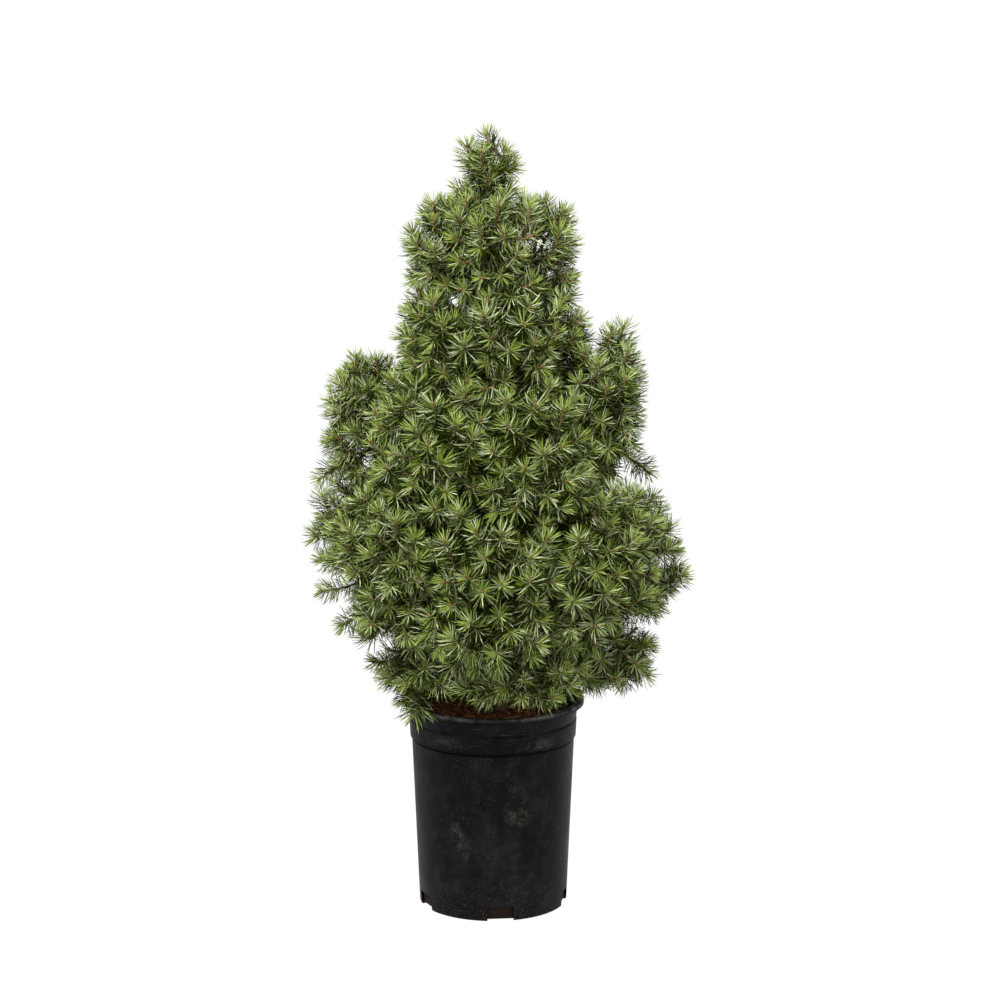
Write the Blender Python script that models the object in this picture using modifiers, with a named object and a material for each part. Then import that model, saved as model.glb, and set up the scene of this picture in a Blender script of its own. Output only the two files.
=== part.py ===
"""Potted dwarf spruce: a dense conical conifer in a black nursery pot, as named solids.

Metres, +Z up. The origin is the centre of the pot's flat underside, and the plant's front faces -Y.
The trunk runs up through the crown. Boughs leave it in tiers, and each bough ends in one mass of
foliage. A mass keeps to its own space: an ellipsoid cut off by the planes that part it from its
neighbours. Its stem carries on from the bough, runs into a core of old twigs, and bears shoots
that end on the far side of that space, every shoot a slim core that some needles stand out of.
"""

import math
import random
from dataclasses import dataclass

import bmesh
import bpy
from mathutils import Matrix, Vector

# Gap between solids that touch on the real plant.
GAP = 0.0003
UP = Vector((0.0, 0.0, 1.0))

# The nursery pot.
POT_HEIGHT = 0.200
RIM_RADIUS = 0.0865
LIP_HEIGHT = 0.0048
BAND_RADIUS = 0.0812
BAND_FOOT = 0.1825
LOWER_BAND_RADIUS = 0.0796
LOWER_BAND_FOOT = 0.1638
BODY_TOP_RADIUS = 0.0772
BODY_FOOT_RADIUS = 0.0704
STEP_DEPTH = 0.0012
FOOT_CHAMFER = 0.0012
POT_WALL = 0.0015
POT_FLOOR = 0.0025
POT_STEPS = 36

# Drainage notches through the wall and the edge of the floor.
NOTCH_COUNT = 5
NOTCH_WIDTH = 0.025
NOTCH_HEIGHT = 0.0145
NOTCH_DEPTH = 0.0085
FIRST_NOTCH = math.radians(276)

# The potting mix that fills the pot.
SOIL_TOP = 0.1880
SOIL_EDGE = 0.1845
SOIL_FLAT_RADIUS = 0.030
SOIL_STEPS = 26

# The trunk: its foot stands on the mix and its tip enters the leader.
TRUNK_FOOT = SOIL_TOP + GAP
TRUNK_TOP = 0.645
TRUNK_RADIUS = 0.0085
TRUNK_TIP_RADIUS = 0.0026
FLARE_RADIUS = 0.0065
FLARE_HEIGHT = 0.022
TRUNK_LEAN = -0.004
TRUNK_SWAY = 0.0018
TRUNK_RINGS = 12

# Boughs: how far inward and down from the middle of its mass each one ends, and how it gets there.
STAGGER = 0.026
HEIGHT_STAGGER_SHARE = 0.6
BOUGH_END_IN = 0.62
BOUGH_END_DOWN = 0.34
BOUGH_BEND = 0.5
BOUGH_TAPER = 0.45
BOUGH_SEGMENTS = 4

# The room round a mass: its full-cheeked ellipsoid, drawn out inward, cut by its neighbours' planes.
INWARD_STRETCH = 1.6
FULLNESS = 2.5
SPACE_MARGIN = 0.0008
LIMB_CLEARANCE = 0.0018
CORE_CLEARANCE = 0.005
POT_CLEARANCE = 0.0024

# Stems and cores inside the masses. Sprays are the core's outer faces, drawn out to points.
STEM_TIP_RADIUS = 0.0012
STEM_SIDES = 5
STEM_SHARE = 0.85
CORE_SHARE = 0.74
CORE_WALL_SHARE = 0.95
CORE_INWARD_CUT = 0.5
CORE_LUMPS = 0.16
SPRAY_LENGTH = 0.012
SPRAY_LEAN = 0.45
SPRAYS_FACE = 0.12

# Shoots: a slim core with needles standing out of it, a little larger than life.
SHOOTS_PER_MASS = 6
SHOOT_GIRTH = 0.0030
NEEDLE_LENGTH = 0.0190
NEEDLE_LENGTH_CHANGE = 0.0030
NEEDLE_LEAN = math.radians(33)
NEEDLE_LEAN_CHANGE = math.radians(30)
TIP_TUFT = 0.013
SHOOT_SPACING = 0.016
LOWEST_RING = -0.447
BRANCH_ANGLE_RATIO = 0.75
ROOTS_ON_STEM = (0.12, 0.92)
SPREAD = math.radians(105)
GOLDEN_ANGLE = math.pi * (3 - math.sqrt(5))
GOLDEN_SHARE = (math.sqrt(5) - 1) / 2
SEED = 7


@dataclass
class Tier:
    """Boughs that leave the trunk near one height, and the masses they end in."""

    name: str
    count: int
    first_azimuth: float
    root_height: float
    bough_radius: float
    distance: float
    height: float
    half: tuple
    rise: float


# Distance and height place the middle of a mass. Half is its half size outward, sideways and upward.
TIERS = (
    Tier("crest", 4, 4, 0.562, 0.0021, 0.043, 0.622, (0.039, 0.050, 0.064), 1.2),
    Tier("upper", 5, 0, 0.470, 0.0026, 0.050, 0.540, (0.044, 0.056, 0.080), 0.9),
    Tier("shoulder", 6, -8, 0.366, 0.0034, 0.080, 0.446, (0.062, 0.072, 0.088), 0.8),
    Tier("broad", 7, 12, 0.262, 0.0038, 0.102, 0.343, (0.070, 0.078, 0.094), 0.5),
    Tier("skirt", 5, 0, 0.213, 0.0030, 0.082, 0.254, (0.054, 0.074, 0.050), 0.1),
)

# Where single masses depart from their tier: (further out, higher, added to each half size).
DEPARTURES = {
    "upper_1": (-0.002, 0.004, (0.0, 0.0, -0.006)),
    "shoulder_1": (0.020, 0.044, (-0.020, -0.014, 0.000)),
    "shoulder_4": (0.030, 0.010, (-0.010, -0.014, -0.016)),
    "broad_1": (0.014, -0.006, (0.002, -0.010, -0.028)),
    "broad_4": (0.006, 0.006, (0.000, -0.010, -0.020)),
    "broad_5": (-0.004, 0.000, (0.000, 0.000, -0.006)),
    "skirt_1": (0.020, 0.003, (0.0, 0.0, -0.012)),
    "skirt_3": (-0.014, 0.002, (0.0, 0.0, 0.0)),
    "skirt_4": (-0.012, -0.002, (0.0, 0.0, 0.0)),
}

LEADER_CENTRE = Vector((TRUNK_LEAN, 0.0, 0.684))
LEADER_HALF = (0.033, 0.033, 0.055)
LEADER_SPREAD = math.radians(125)


@dataclass
class Mass:
    """One mass of foliage: its space, the bough it grows on, and the way it faces."""

    name: str
    centre: Vector
    half: tuple
    azimuth: float
    facing: Vector
    spread: float
    bough: list
    bough_radii: list
    seed: int

    @property
    def size(self):
        return sum(self.half) / 3

    @property
    def outward(self):
        return UP if self.name == "leader" else outward_at(self.azimuth)

    @property
    def axes(self):
        outward = outward_at(self.azimuth)
        return outward, UP.cross(outward), UP

    @property
    def stem_direction(self):
        return (self.bough[-1] - self.bough[-2]).normalized()

    @property
    def stem_start(self):
        return self.bough[-1] + self.stem_direction * GAP

    @property
    def stem_end(self):
        return self.stem_start + self.stem_direction * self.size * STEM_SHARE


# Placing the trunk, the boughs and the masses


def outward_at(azimuth):
    return Vector((math.cos(azimuth), math.sin(azimuth), 0.0))


def trunk_point(height):
    """The trunk's centreline: a slight lean with a slow sway, upright where it leaves the mix."""
    share = (height - TRUNK_FOOT) / (TRUNK_TOP - TRUNK_FOOT)
    sway = TRUNK_SWAY * math.sin(share * math.tau) * share
    return Vector((TRUNK_LEAN * share * share + sway, sway, height))


def trunk_radius(height):
    share = (height - TRUNK_FOOT) / (TRUNK_TOP - TRUNK_FOOT)
    taper = TRUNK_RADIUS + (TRUNK_TIP_RADIUS - TRUNK_RADIUS) * share
    flare = FLARE_RADIUS * max(0.0, 1 - (height - TRUNK_FOOT) / FLARE_HEIGHT) ** 2
    return taper + flare


def bough_line(root_height, centre, half, azimuth, facing):
    """A bough's centreline: it leaves the trunk and bends to run into its mass from below."""
    start = trunk_point(root_height)
    end = centre - outward_at(azimuth) * half[0] * BOUGH_END_IN - UP * half[2] * BOUGH_END_DOWN
    bend = end - facing * BOUGH_BEND * (end - start).length
    shares = [step / BOUGH_SEGMENTS for step in range(BOUGH_SEGMENTS + 1)]
    return [start.lerp(bend, t).lerp(bend.lerp(end, t), t) for t in shares]


def bough_radii(root_radius):
    steps = range(BOUGH_SEGMENTS + 1)
    return [root_radius * (1 - BOUGH_TAPER * step / BOUGH_SEGMENTS) for step in steps]


def tier_masses(tier, first_seed):
    for index in range(tier.count):
        name = f"{tier.name}_{index + 1}"
        out, higher, wider = DEPARTURES.get(name, (0.0, 0.0, (0.0, 0.0, 0.0)))
        azimuth = math.radians(tier.first_azimuth) + math.tau * index / tier.count
        stagger = STAGGER * ((index * GOLDEN_SHARE) % 1 - 0.5)
        height = tier.height + higher + stagger * HEIGHT_STAGGER_SHARE
        centre = outward_at(azimuth) * (tier.distance + out) + UP * height
        half = tuple(size + extra for size, extra in zip(tier.half, wider))
        facing = (outward_at(azimuth) + UP * tier.rise).normalized()
        yield Mass(
            name=name,
            centre=centre,
            half=half,
            azimuth=azimuth,
            facing=facing,
            spread=SPREAD,
            bough=bough_line(tier.root_height + stagger, centre, half, azimuth, facing),
            bough_radii=bough_radii(tier.bough_radius),
            seed=first_seed + index,
        )


def leader_mass():
    """The mass at the top, which grows on the trunk's own tip."""
    heights = [TRUNK_TOP - 0.01, TRUNK_TOP]
    return Mass(
        name="leader",
        centre=LEADER_CENTRE,
        half=LEADER_HALF,
        azimuth=0.0,
        facing=UP,
        spread=LEADER_SPREAD,
        bough=[trunk_point(height) for height in heights],
        bough_radii=[trunk_radius(height) for height in heights],
        seed=SEED,
    )


def all_masses():
    masses = [leader_mass()]
    for tier in TIERS:
        masses.extend(tier_masses(tier, SEED + 10 * len(masses)))
    return masses


# The space that each mass keeps to


def ellipsoid_exit(mass, direction):
    """How far the mass's ellipsoid, drawn out towards the trunk, reaches from its middle."""
    parts = [direction.dot(axis) / size for axis, size in zip(mass.axes, mass.half)]
    if parts[0] < 0 and mass.name != "leader":
        parts[0] /= INWARD_STRETCH
    return sum(abs(part) ** FULLNESS for part in parts) ** (-1 / FULLNESS)


def parting_plane(mass, other):
    """Unit normal and offset of the plane that parts two masses, nearer the smaller one."""
    between = other.centre - mass.centre
    offset = (
        other.centre.length_squared
        - other.size**2
        - mass.centre.length_squared
        + mass.size**2
    ) / (2 * between.length)
    return between.normalized(), offset - SPACE_MARGIN


def planes_round(mass, masses):
    return [parting_plane(mass, other) for other in masses if other is not mass]


def room_along(mass, planes, direction):
    """How far the mass's own space reaches from its middle in a direction."""
    room = ellipsoid_exit(mass, direction)
    for normal, offset in planes:
        along = direction.dot(normal)
        if along > 0:
            room = min(room, (offset - mass.centre.dot(normal)) / along)
    return room


def in_space(point, planes):
    return all(point.dot(normal) < offset for normal, offset in planes)


def clear_of_pot(point):
    """True outside the pot's rim, or above it."""
    outside = math.hypot(point.x, point.y) > RIM_RADIUS + POT_CLEARANCE
    return outside or point.z > POT_HEIGHT + POT_CLEARANCE


def distance_to_line(point, start, end):
    """Distance from a point to a segment, and where along it the nearest point lies."""
    along = end - start
    share = min(1.0, max(0.0, (point - start).dot(along) / along.length_squared))
    return (point - start.lerp(end, share)).length, share


def clear_of_limbs(point, limbs, clearance=LIMB_CLEARANCE):
    for start, end, start_radius, end_radius in limbs:
        distance, share = distance_to_line(point, start, end)
        radius = start_radius + (end_radius - start_radius) * share
        if distance < radius + clearance:
            return False
    return True


def limbs_near(mass, limbs):
    """Only the limbs that anything in this mass could touch."""
    reach = 2 * max(mass.half)
    return [limb for limb in limbs if distance_to_line(mass.centre, *limb[:2])[0] < reach]


def limb_pieces(masses):
    """The trunk and every bough as straight tapering pieces."""
    heights = trunk_heights()
    limbs = [
        (trunk_point(low), trunk_point(high), trunk_radius(low), trunk_radius(high))
        for low, high in zip(heights, heights[1:])
    ]
    for mass in masses:
        ends = zip(mass.bough, mass.bough[1:], mass.bough_radii, mass.bough_radii[1:])
        limbs.extend(ends)
    return limbs


# Materials and objects


def make_material(name, colour, roughness):
    material = bpy.data.materials.new(name)
    material.use_nodes = True
    shader = material.node_tree.nodes["Principled BSDF"]
    shader.inputs["Base Color"].default_value = (*colour, 1.0)
    shader.inputs["Roughness"].default_value = roughness
    shader.inputs["Metallic"].default_value = 0.0
    return material


def object_from(bm, name, collection, material=None):
    mesh = bpy.data.meshes.new(name)
    bm.to_mesh(mesh)
    bm.free()
    made = bpy.data.objects.new(name, mesh)
    collection.objects.link(made)
    if material:
        mesh.materials.append(material)
    return made


def mesh_from(shown, name, collection, material=None, weld=1e-5):
    """A mesh object from a curve, or from an object with modifiers, which is then removed."""
    bpy.context.view_layer.update()
    graph = bpy.context.evaluated_depsgraph_get()
    mesh = bpy.data.meshes.new_from_object(shown.evaluated_get(graph))
    place = shown.matrix_world.copy()
    bpy.data.objects.remove(shown)
    bm = bmesh.new()
    bm.from_mesh(mesh)
    bmesh.ops.remove_doubles(bm, verts=bm.verts, dist=weld)
    bm.to_mesh(mesh)
    bm.free()
    made = bpy.data.objects.new(name, mesh)
    made.matrix_world = place
    collection.objects.link(made)
    mesh.materials.clear()
    if material:
        mesh.materials.append(material)
    return made


def limb_curve(name, points, radii, collection, bevel_resolution):
    """A tapering tube along points, as a curve with filled caps."""
    curve = bpy.data.curves.new(name, "CURVE")
    curve.dimensions = "3D"
    curve.bevel_depth = 1.0
    curve.bevel_resolution = bevel_resolution
    curve.use_fill_caps = True
    spline = curve.splines.new("POLY")
    spline.points.add(len(points) - 1)
    for slot, point, radius in zip(spline.points, points, radii):
        slot.co = (*point, 1.0)
        slot.radius = radius
    made = bpy.data.objects.new(name, curve)
    collection.objects.link(made)
    return made


# The pot and the mix in it


def turned(name, profile, steps, collection, material=None):
    """A solid turned about Z from a profile of (radius, height) that starts and ends on the axis."""
    mesh = bpy.data.meshes.new(name)
    points = [(radius, 0.0, height) for radius, height in profile]
    mesh.from_pydata(points, [(i, i + 1) for i in range(len(points) - 1)], [])
    made = bpy.data.objects.new(name, mesh)
    collection.objects.link(made)
    screw = made.modifiers.new("turn", "SCREW")
    screw.steps = steps
    screw.render_steps = steps
    screw.use_merge_vertices = True
    screw.merge_threshold = 0.00005
    return mesh_from(made, name, collection, material)


def pot_profile():
    """From the middle of the floor up the inside, over the lip and down the outside."""
    lip_foot = POT_HEIGHT - LIP_HEIGHT
    lip_round = 0.0015
    body_inside = BODY_TOP_RADIUS - POT_WALL
    return [
        (0.0, POT_FLOOR),
        (BODY_FOOT_RADIUS - POT_WALL, POT_FLOOR),
        (body_inside, LOWER_BAND_FOOT),
        (LOWER_BAND_RADIUS - POT_WALL, BAND_FOOT),
        (BAND_RADIUS - POT_WALL, lip_foot),
        (BAND_RADIUS - POT_WALL + 0.0004, POT_HEIGHT - lip_round),
        (BAND_RADIUS - POT_WALL + lip_round, POT_HEIGHT),
        (RIM_RADIUS - lip_round, POT_HEIGHT),
        (RIM_RADIUS, POT_HEIGHT - lip_round),
        (RIM_RADIUS, lip_foot),
        (BAND_RADIUS, lip_foot - STEP_DEPTH),
        (BAND_RADIUS - 0.001, BAND_FOOT),
        (LOWER_BAND_RADIUS, BAND_FOOT - STEP_DEPTH),
        (LOWER_BAND_RADIUS - 0.0008, LOWER_BAND_FOOT),
        (BODY_TOP_RADIUS, LOWER_BAND_FOOT - STEP_DEPTH),
        (BODY_FOOT_RADIUS, FOOT_CHAMFER),
        (BODY_FOOT_RADIUS - FOOT_CHAMFER, 0.0),
        (0.0, 0.0),
    ]


def notch_cutter(index, collection):
    """A box through the wall and the edge of the floor."""
    azimuth = FIRST_NOTCH + math.tau * index / NOTCH_COUNT
    inner = BODY_FOOT_RADIUS - NOTCH_DEPTH
    outer = BODY_FOOT_RADIUS + 0.006
    bm = bmesh.new()
    bmesh.ops.create_cube(bm, size=1.0)
    cutter = object_from(bm, f"notch_cutter_{index + 1}", collection)
    low = -0.004
    middle = outward_at(azimuth) * (inner + outer) / 2 + UP * (low + NOTCH_HEIGHT) / 2
    size = Matrix.Diagonal((outer - inner, NOTCH_WIDTH, NOTCH_HEIGHT - low, 1.0))
    cutter.data.transform(size)
    cutter.location = middle
    cutter.rotation_euler.z = azimuth
    cutter.hide_render = True
    cutter.display_type = "WIRE"
    return cutter


def build_pot(parts, cutters, material):
    pot = turned("pot", pot_profile(), POT_STEPS, parts, material)
    for index in range(NOTCH_COUNT):
        cut = pot.modifiers.new(f"notch_{index + 1}", "BOOLEAN")
        cut.operation = "DIFFERENCE"
        cut.object = notch_cutter(index, cutters)
    pot.data.shade_smooth()
    pot.data.set_sharp_from_angle(angle=math.radians(30))
    return pot


def soil_profile():
    """The mix fills the pot and lies a little lower at the wall than round the trunk."""
    foot = POT_FLOOR + GAP
    slope = (BODY_TOP_RADIUS - BODY_FOOT_RADIUS) / (LOWER_BAND_FOOT - POT_FLOOR)
    clear = POT_WALL + GAP * 2
    return [
        (0.0, SOIL_TOP),
        (SOIL_FLAT_RADIUS, SOIL_TOP),
        (0.055, SOIL_TOP - 0.0015),
        (LOWER_BAND_RADIUS - clear, SOIL_EDGE),
        (BODY_TOP_RADIUS - clear, LOWER_BAND_FOOT - 0.001),
        (BODY_FOOT_RADIUS + slope * 0.01 - clear, foot + 0.01),
        (BODY_FOOT_RADIUS - clear - 0.0005, foot),
        (0.0, foot),
    ]


def build_soil(parts, material):
    soil = turned("soil", soil_profile(), SOIL_STEPS, parts, material)
    soil.data.shade_smooth()
    soil.data.set_sharp_from_angle(angle=math.radians(30))
    return soil


# The trunk and the boughs


def trunk_heights():
    """Rings close together at the root flare and even above it."""
    flare = [TRUNK_FOOT, TRUNK_FOOT + FLARE_HEIGHT * 0.35, TRUNK_FOOT + FLARE_HEIGHT]
    span = TRUNK_TOP - flare[-1]
    above = [flare[-1] + span * (i + 1) / TRUNK_RINGS for i in range(TRUNK_RINGS)]
    return flare + above


def build_trunk(name, grown, collection, material=None):
    heights = trunk_heights()
    points = [trunk_point(height) for height in heights]
    radii = [trunk_radius(height) + grown for height in heights]
    curve = limb_curve(name, points, radii, collection, bevel_resolution=2)
    trunk = mesh_from(curve, name, collection, material)
    trunk.data.shade_smooth()
    return trunk


def build_bough(mass, trunk_cutter, parts, material):
    """One tapering limb, cut off where it meets the trunk."""
    name = f"bough_{mass.name}"
    curve = limb_curve(name, mass.bough, mass.bough_radii, parts, bevel_resolution=1)
    bough = mesh_from(curve, name, parts, material)
    cut = bough.modifiers.new("seat", "BOOLEAN")
    cut.operation = "DIFFERENCE"
    cut.object = trunk_cutter
    bough.data.shade_smooth()
    return bough


# The foliage


def placed(bm, start, end):
    """Moves a mesh made along Z from 0 to its length so that it runs from start towards end."""
    turn = (end - start).to_track_quat("Z", "Y").to_matrix().to_4x4()
    bmesh.ops.transform(bm, matrix=Matrix.Translation(start) @ turn, verts=bm.verts)
    return bm


def stem_mesh(mass):
    """The stem inside a mass, as thick as its bough's tip where it starts."""
    start, end = mass.stem_start, mass.stem_end
    length = (end - start).length
    bm = bmesh.new()
    bmesh.ops.create_cone(
        bm,
        cap_ends=True,
        cap_tris=True,
        segments=STEM_SIDES,
        radius1=mass.bough_radii[-1],
        radius2=STEM_TIP_RADIUS,
        depth=length,
    )
    bmesh.ops.translate(bm, vec=UP * length / 2, verts=bm.verts)
    return placed(bm, start, end)


def core_reach(mass, planes, direction, lump=1.0):
    """How far the core reaches from the middle of its mass in a direction."""
    inward = max(0.0, -direction.dot(mass.outward))
    own = ellipsoid_exit(mass, direction) * CORE_SHARE * (1 - CORE_INWARD_CUT * inward) * lump
    return min(own, room_along(mass, planes, direction) * CORE_WALL_SHARE)


def core_mesh(mass, planes, limbs, shoots):
    """A lumpy body of old twigs and needles, smaller than the mass and clear of every limb."""
    draw = random.Random(mass.seed)
    bm = bmesh.new()
    bmesh.ops.create_icosphere(bm, subdivisions=2, radius=1.0)
    for vert in bm.verts:
        direction = vert.co.normalized()
        lump = draw.uniform(1 - CORE_LUMPS, 1 + CORE_LUMPS)
        vert.co = mass.centre + direction * core_reach(mass, planes, direction, lump)
    draw_clear(bm, mass.centre, limbs)
    raise_sprays(bm, mass, planes, limbs, shoots, draw)
    return bm


def raise_sprays(bm, mass, planes, limbs, shoots, draw):
    """Draws each outer face of a core out into a short spray, where it stays clear of the rest."""
    bm.normal_update()
    tips = {}
    for face in bm.faces:
        middle = face.calc_center_median()
        way = (face.normal + mass.facing * SPRAY_LEAN).normalized()
        tip = middle + way * SPRAY_LENGTH * draw.uniform(0.8, 1.2)
        half_way = middle.lerp(tip, 0.6)
        clear = all(
            in_space(spot, planes) and clear_of_pot(spot) and clear_of_limbs(spot, limbs + shoots)
            for spot in (half_way, tip)
        )
        if clear and face.normal.dot(mass.facing) > SPRAYS_FACE:
            tips[face] = tip
    for face, tip in tips.items():
        bmesh.ops.poke(bm, faces=[face])["verts"][0].co = tip


def draw_clear(bm, middle, limbs):
    """Pulls a core's corners in until none of its faces is near a limb or the pot."""
    for _ in range(30):
        close = {
            vert
            for face in bm.faces
            for spot in spots_on(face)
            if not (clear_of_limbs(spot, limbs, CORE_CLEARANCE) and clear_of_pot(spot))
            for vert in face.verts
        }
        if not close:
            return
        for vert in close:
            vert.co = middle.lerp(vert.co, 0.92)


def spots_on(face):
    middles = [(edge.verts[0].co + edge.verts[1].co) / 2 for edge in face.edges]
    return [face.calc_center_median(), *middles, *(vert.co for vert in face.verts)]


def share_in_core(mass, planes, root, tip):
    """The share of the way from root to tip at which a shoot leaves the core."""
    shares = [step / 20 for step in range(2, 18)]
    for share in shares:
        beyond = root.lerp(tip, share) - mass.centre
        if beyond.length > core_reach(mass, planes, beyond.normalized()) * 1.04:
            return share
    return shares[-1]


def shoot_ends(mass, planes):
    """Where each shoot of a mass leaves the stem and where it ends, spread by the golden angle."""
    draw = random.Random(mass.seed + 1000)
    facing = mass.facing
    side = facing.orthogonal().normalized()
    across = facing.cross(side)
    stem = mass.stem_end - mass.stem_start
    phase = draw.uniform(0, math.tau)
    for index in range(SHOOTS_PER_MASS):
        share = (index + 0.35) / SHOOTS_PER_MASS
        polar = math.acos(1 - share * (1 - math.cos(mass.spread)))
        turn = phase + index * GOLDEN_ANGLE + draw.uniform(-0.15, 0.15)
        spoke = side * math.cos(turn) + across * math.sin(turn)
        direction = facing * math.cos(polar) + spoke * math.sin(polar)
        room = room_along(mass, planes, direction) - TIP_TUFT
        tip = mass.centre + direction * room * draw.uniform(0.93, 1.0)
        along = (tip - mass.stem_start).dot(stem) / stem.length
        aside = (tip - mass.stem_start - stem.normalized() * along).length
        leaves_at = (along - BRANCH_ANGLE_RATIO * aside) / stem.length
        first, last = ROOTS_ON_STEM
        yield mass.stem_start + stem * min(last, max(first, leaves_at)), tip


def along_shoot(height, bare):
    """Height on the unit ball, from -1 to 1, to a share of the shoot, whose first part is bare."""
    if height < LOWEST_RING:
        return bare * (height + 1) / (LOWEST_RING + 1)
    return bare + (1 - bare) * (height - LOWEST_RING) / (1 - LOWEST_RING)


def shoot_mesh(root, tip, bare, spin):
    """A spindle from root to tip with one needle on each face beyond its bare first part."""
    length = (tip - root).length
    bm = bmesh.new()
    bmesh.ops.create_icosphere(bm, subdivisions=1, radius=1.0)
    bmesh.ops.rotate(bm, cent=(0, 0, 0), matrix=Matrix.Rotation(spin, 3, "Z"), verts=bm.verts)
    spindle = list(bm.verts)
    bearing = [face for face in bm.faces if face.calc_center_median().z > LOWEST_RING]
    needles = bmesh.ops.poke(bm, faces=bearing, offset=0.0)["verts"]
    for vert in needles:
        height = vert.co.z
        radial = Vector((vert.co.x, vert.co.y, 0.0)).normalized()
        lean = NEEDLE_LEAN + NEEDLE_LEAN_CHANGE * height
        foot = radial * SHOOT_GIRTH * 0.8 + UP * along_shoot(height, bare) * length
        point = radial * math.cos(lean) + UP * math.sin(lean)
        vert.co = foot + point * (NEEDLE_LENGTH + NEEDLE_LENGTH_CHANGE * height)
    for vert in spindle:
        share = along_shoot(vert.co.z, bare)
        vert.co = Vector((vert.co.x * SHOOT_GIRTH, vert.co.y * SHOOT_GIRTH, share * length))
    return placed(bm, root, tip)


def fits(bm, planes, limbs):
    """True if every corner, and three spots along every edge, are in the mass's space and clear."""
    spots = [vert.co for vert in bm.verts]
    for edge in bm.edges:
        start, end = edge.verts[0].co, edge.verts[1].co
        spots += [start.lerp(end, share) for share in (0.25, 0.5, 0.75)]
    return all(
        in_space(spot, planes) and clear_of_pot(spot) and clear_of_limbs(spot, limbs)
        for spot in spots
    )


def shoots_of(mass, planes, limbs):
    """The shoots that fit, and their axes. One that doesn't fit is drawn in, or skipped."""
    meshes, axes = [], []
    for index, (root, end) in enumerate(shoot_ends(mass, planes)):
        for drawn_in in (1.0, 0.92, 0.84, 0.76, 0.66):
            tip = root.lerp(end, drawn_in)
            bare = share_in_core(mass, planes, root, tip)
            shoot = shoot_mesh(root, tip, bare, spin=index * 0.7)
            if fits(shoot, planes, limbs) and clear_of_limbs(tip, axes):
                axes.append((root.lerp(tip, bare), tip, SHOOT_SPACING, SHOOT_SPACING))
                meshes.append(shoot)
                break
            shoot.free()
    return meshes, axes


def largest_body(bm):
    """Removes every loose scrap and keeps the body with the most vertices."""
    bodies = []
    left = set(bm.verts)
    while left:
        found = {left.pop()}
        reached = list(found)
        while reached:
            vert = reached.pop()
            near = {edge.other_vert(vert) for edge in vert.link_edges} - found
            found |= near
            reached.extend(near)
        left -= found
        bodies.append(found)
    keep = max(bodies, key=len)
    scraps = [vert for vert in bm.verts if vert not in keep]
    bmesh.ops.delete(bm, geom=scraps, context="VERTS")


def fuse(name, meshes, parts, material):
    """One closed solid from overlapping meshes, by one Boolean union on a collection."""
    others = bpy.data.collections.new(f"{name}_pieces")
    bpy.context.scene.collection.children.link(others)
    body = object_from(meshes[0], f"{name}_body", parts)
    for index, bm in enumerate(meshes[1:]):
        object_from(bm, f"{name}_piece_{index}", others)
    union = body.modifiers.new("fuse", "BOOLEAN")
    union.operation = "UNION"
    union.operand_type = "COLLECTION"
    union.collection = others
    made = mesh_from(body, name, parts, material, weld=2e-6)
    for piece in list(others.objects):
        bpy.data.objects.remove(piece)
    bpy.data.collections.remove(others)
    bm = bmesh.new()
    bm.from_mesh(made.data)
    bmesh.ops.dissolve_degenerate(bm, dist=2e-6, edges=bm.edges)
    largest_body(bm)
    bmesh.ops.triangulate(bm, faces=bm.faces)
    bm.to_mesh(made.data)
    bm.free()
    return made


def build_mass(mass, masses, limbs, parts, material):
    planes = planes_round(mass, masses)
    limbs = limbs_near(mass, limbs)
    shoots, axes = shoots_of(mass, planes, limbs)
    core = core_mesh(mass, planes, limbs, axes)
    return fuse(mass.name, [core, stem_mesh(mass), *shoots], parts, material)


def main():
    for old in list(bpy.data.objects):
        bpy.data.objects.remove(old)
    scene = bpy.context.scene.collection
    parts = bpy.data.collections.new("potted_dwarf_spruce")
    cutters = bpy.data.collections.new("cutters")
    scene.children.link(parts)
    scene.children.link(cutters)

    black_plastic = make_material("black_plastic", (0.012, 0.012, 0.012), 0.5)
    potting_mix = make_material("potting_mix", (0.045, 0.022, 0.012), 0.95)
    bark = make_material("bark", (0.16, 0.075, 0.035), 0.85)
    needles = make_material("needles", (0.085, 0.135, 0.035), 0.5)

    build_pot(parts, cutters, black_plastic)
    build_soil(parts, potting_mix)
    build_trunk("trunk", 0.0, parts, bark)
    trunk_cutter = build_trunk("trunk_cutter", GAP, cutters)
    trunk_cutter.hide_render = True
    trunk_cutter.display_type = "WIRE"

    masses = all_masses()
    limbs = limb_pieces(masses)
    for mass in masses:
        if mass.name != "leader":
            build_bough(mass, trunk_cutter, parts, bark)
        build_mass(mass, masses, limbs, parts, needles)


if __name__ == "__main__":
    main()
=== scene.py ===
"""Potted dwarf spruce: the looks of the plant, its pot and its mix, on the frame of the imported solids.

Metres, +Z up. The origin is the centre of the pot's flat underside, and the plant's front faces -Y.
The foliage grows by the solids' own rule, written again here and carried on: boughs leave the trunk in
tiers, each ends in one mass, and a mass keeps to an ellipsoid cut off by the planes that part it from
its neighbours. Each mass has its main twigs, finer twigs that branch from them, and needles on all.
"""

import math
import random
from dataclasses import dataclass

import bmesh
import bpy
import numpy as np
from mathutils import Matrix, Vector, noise


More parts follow.
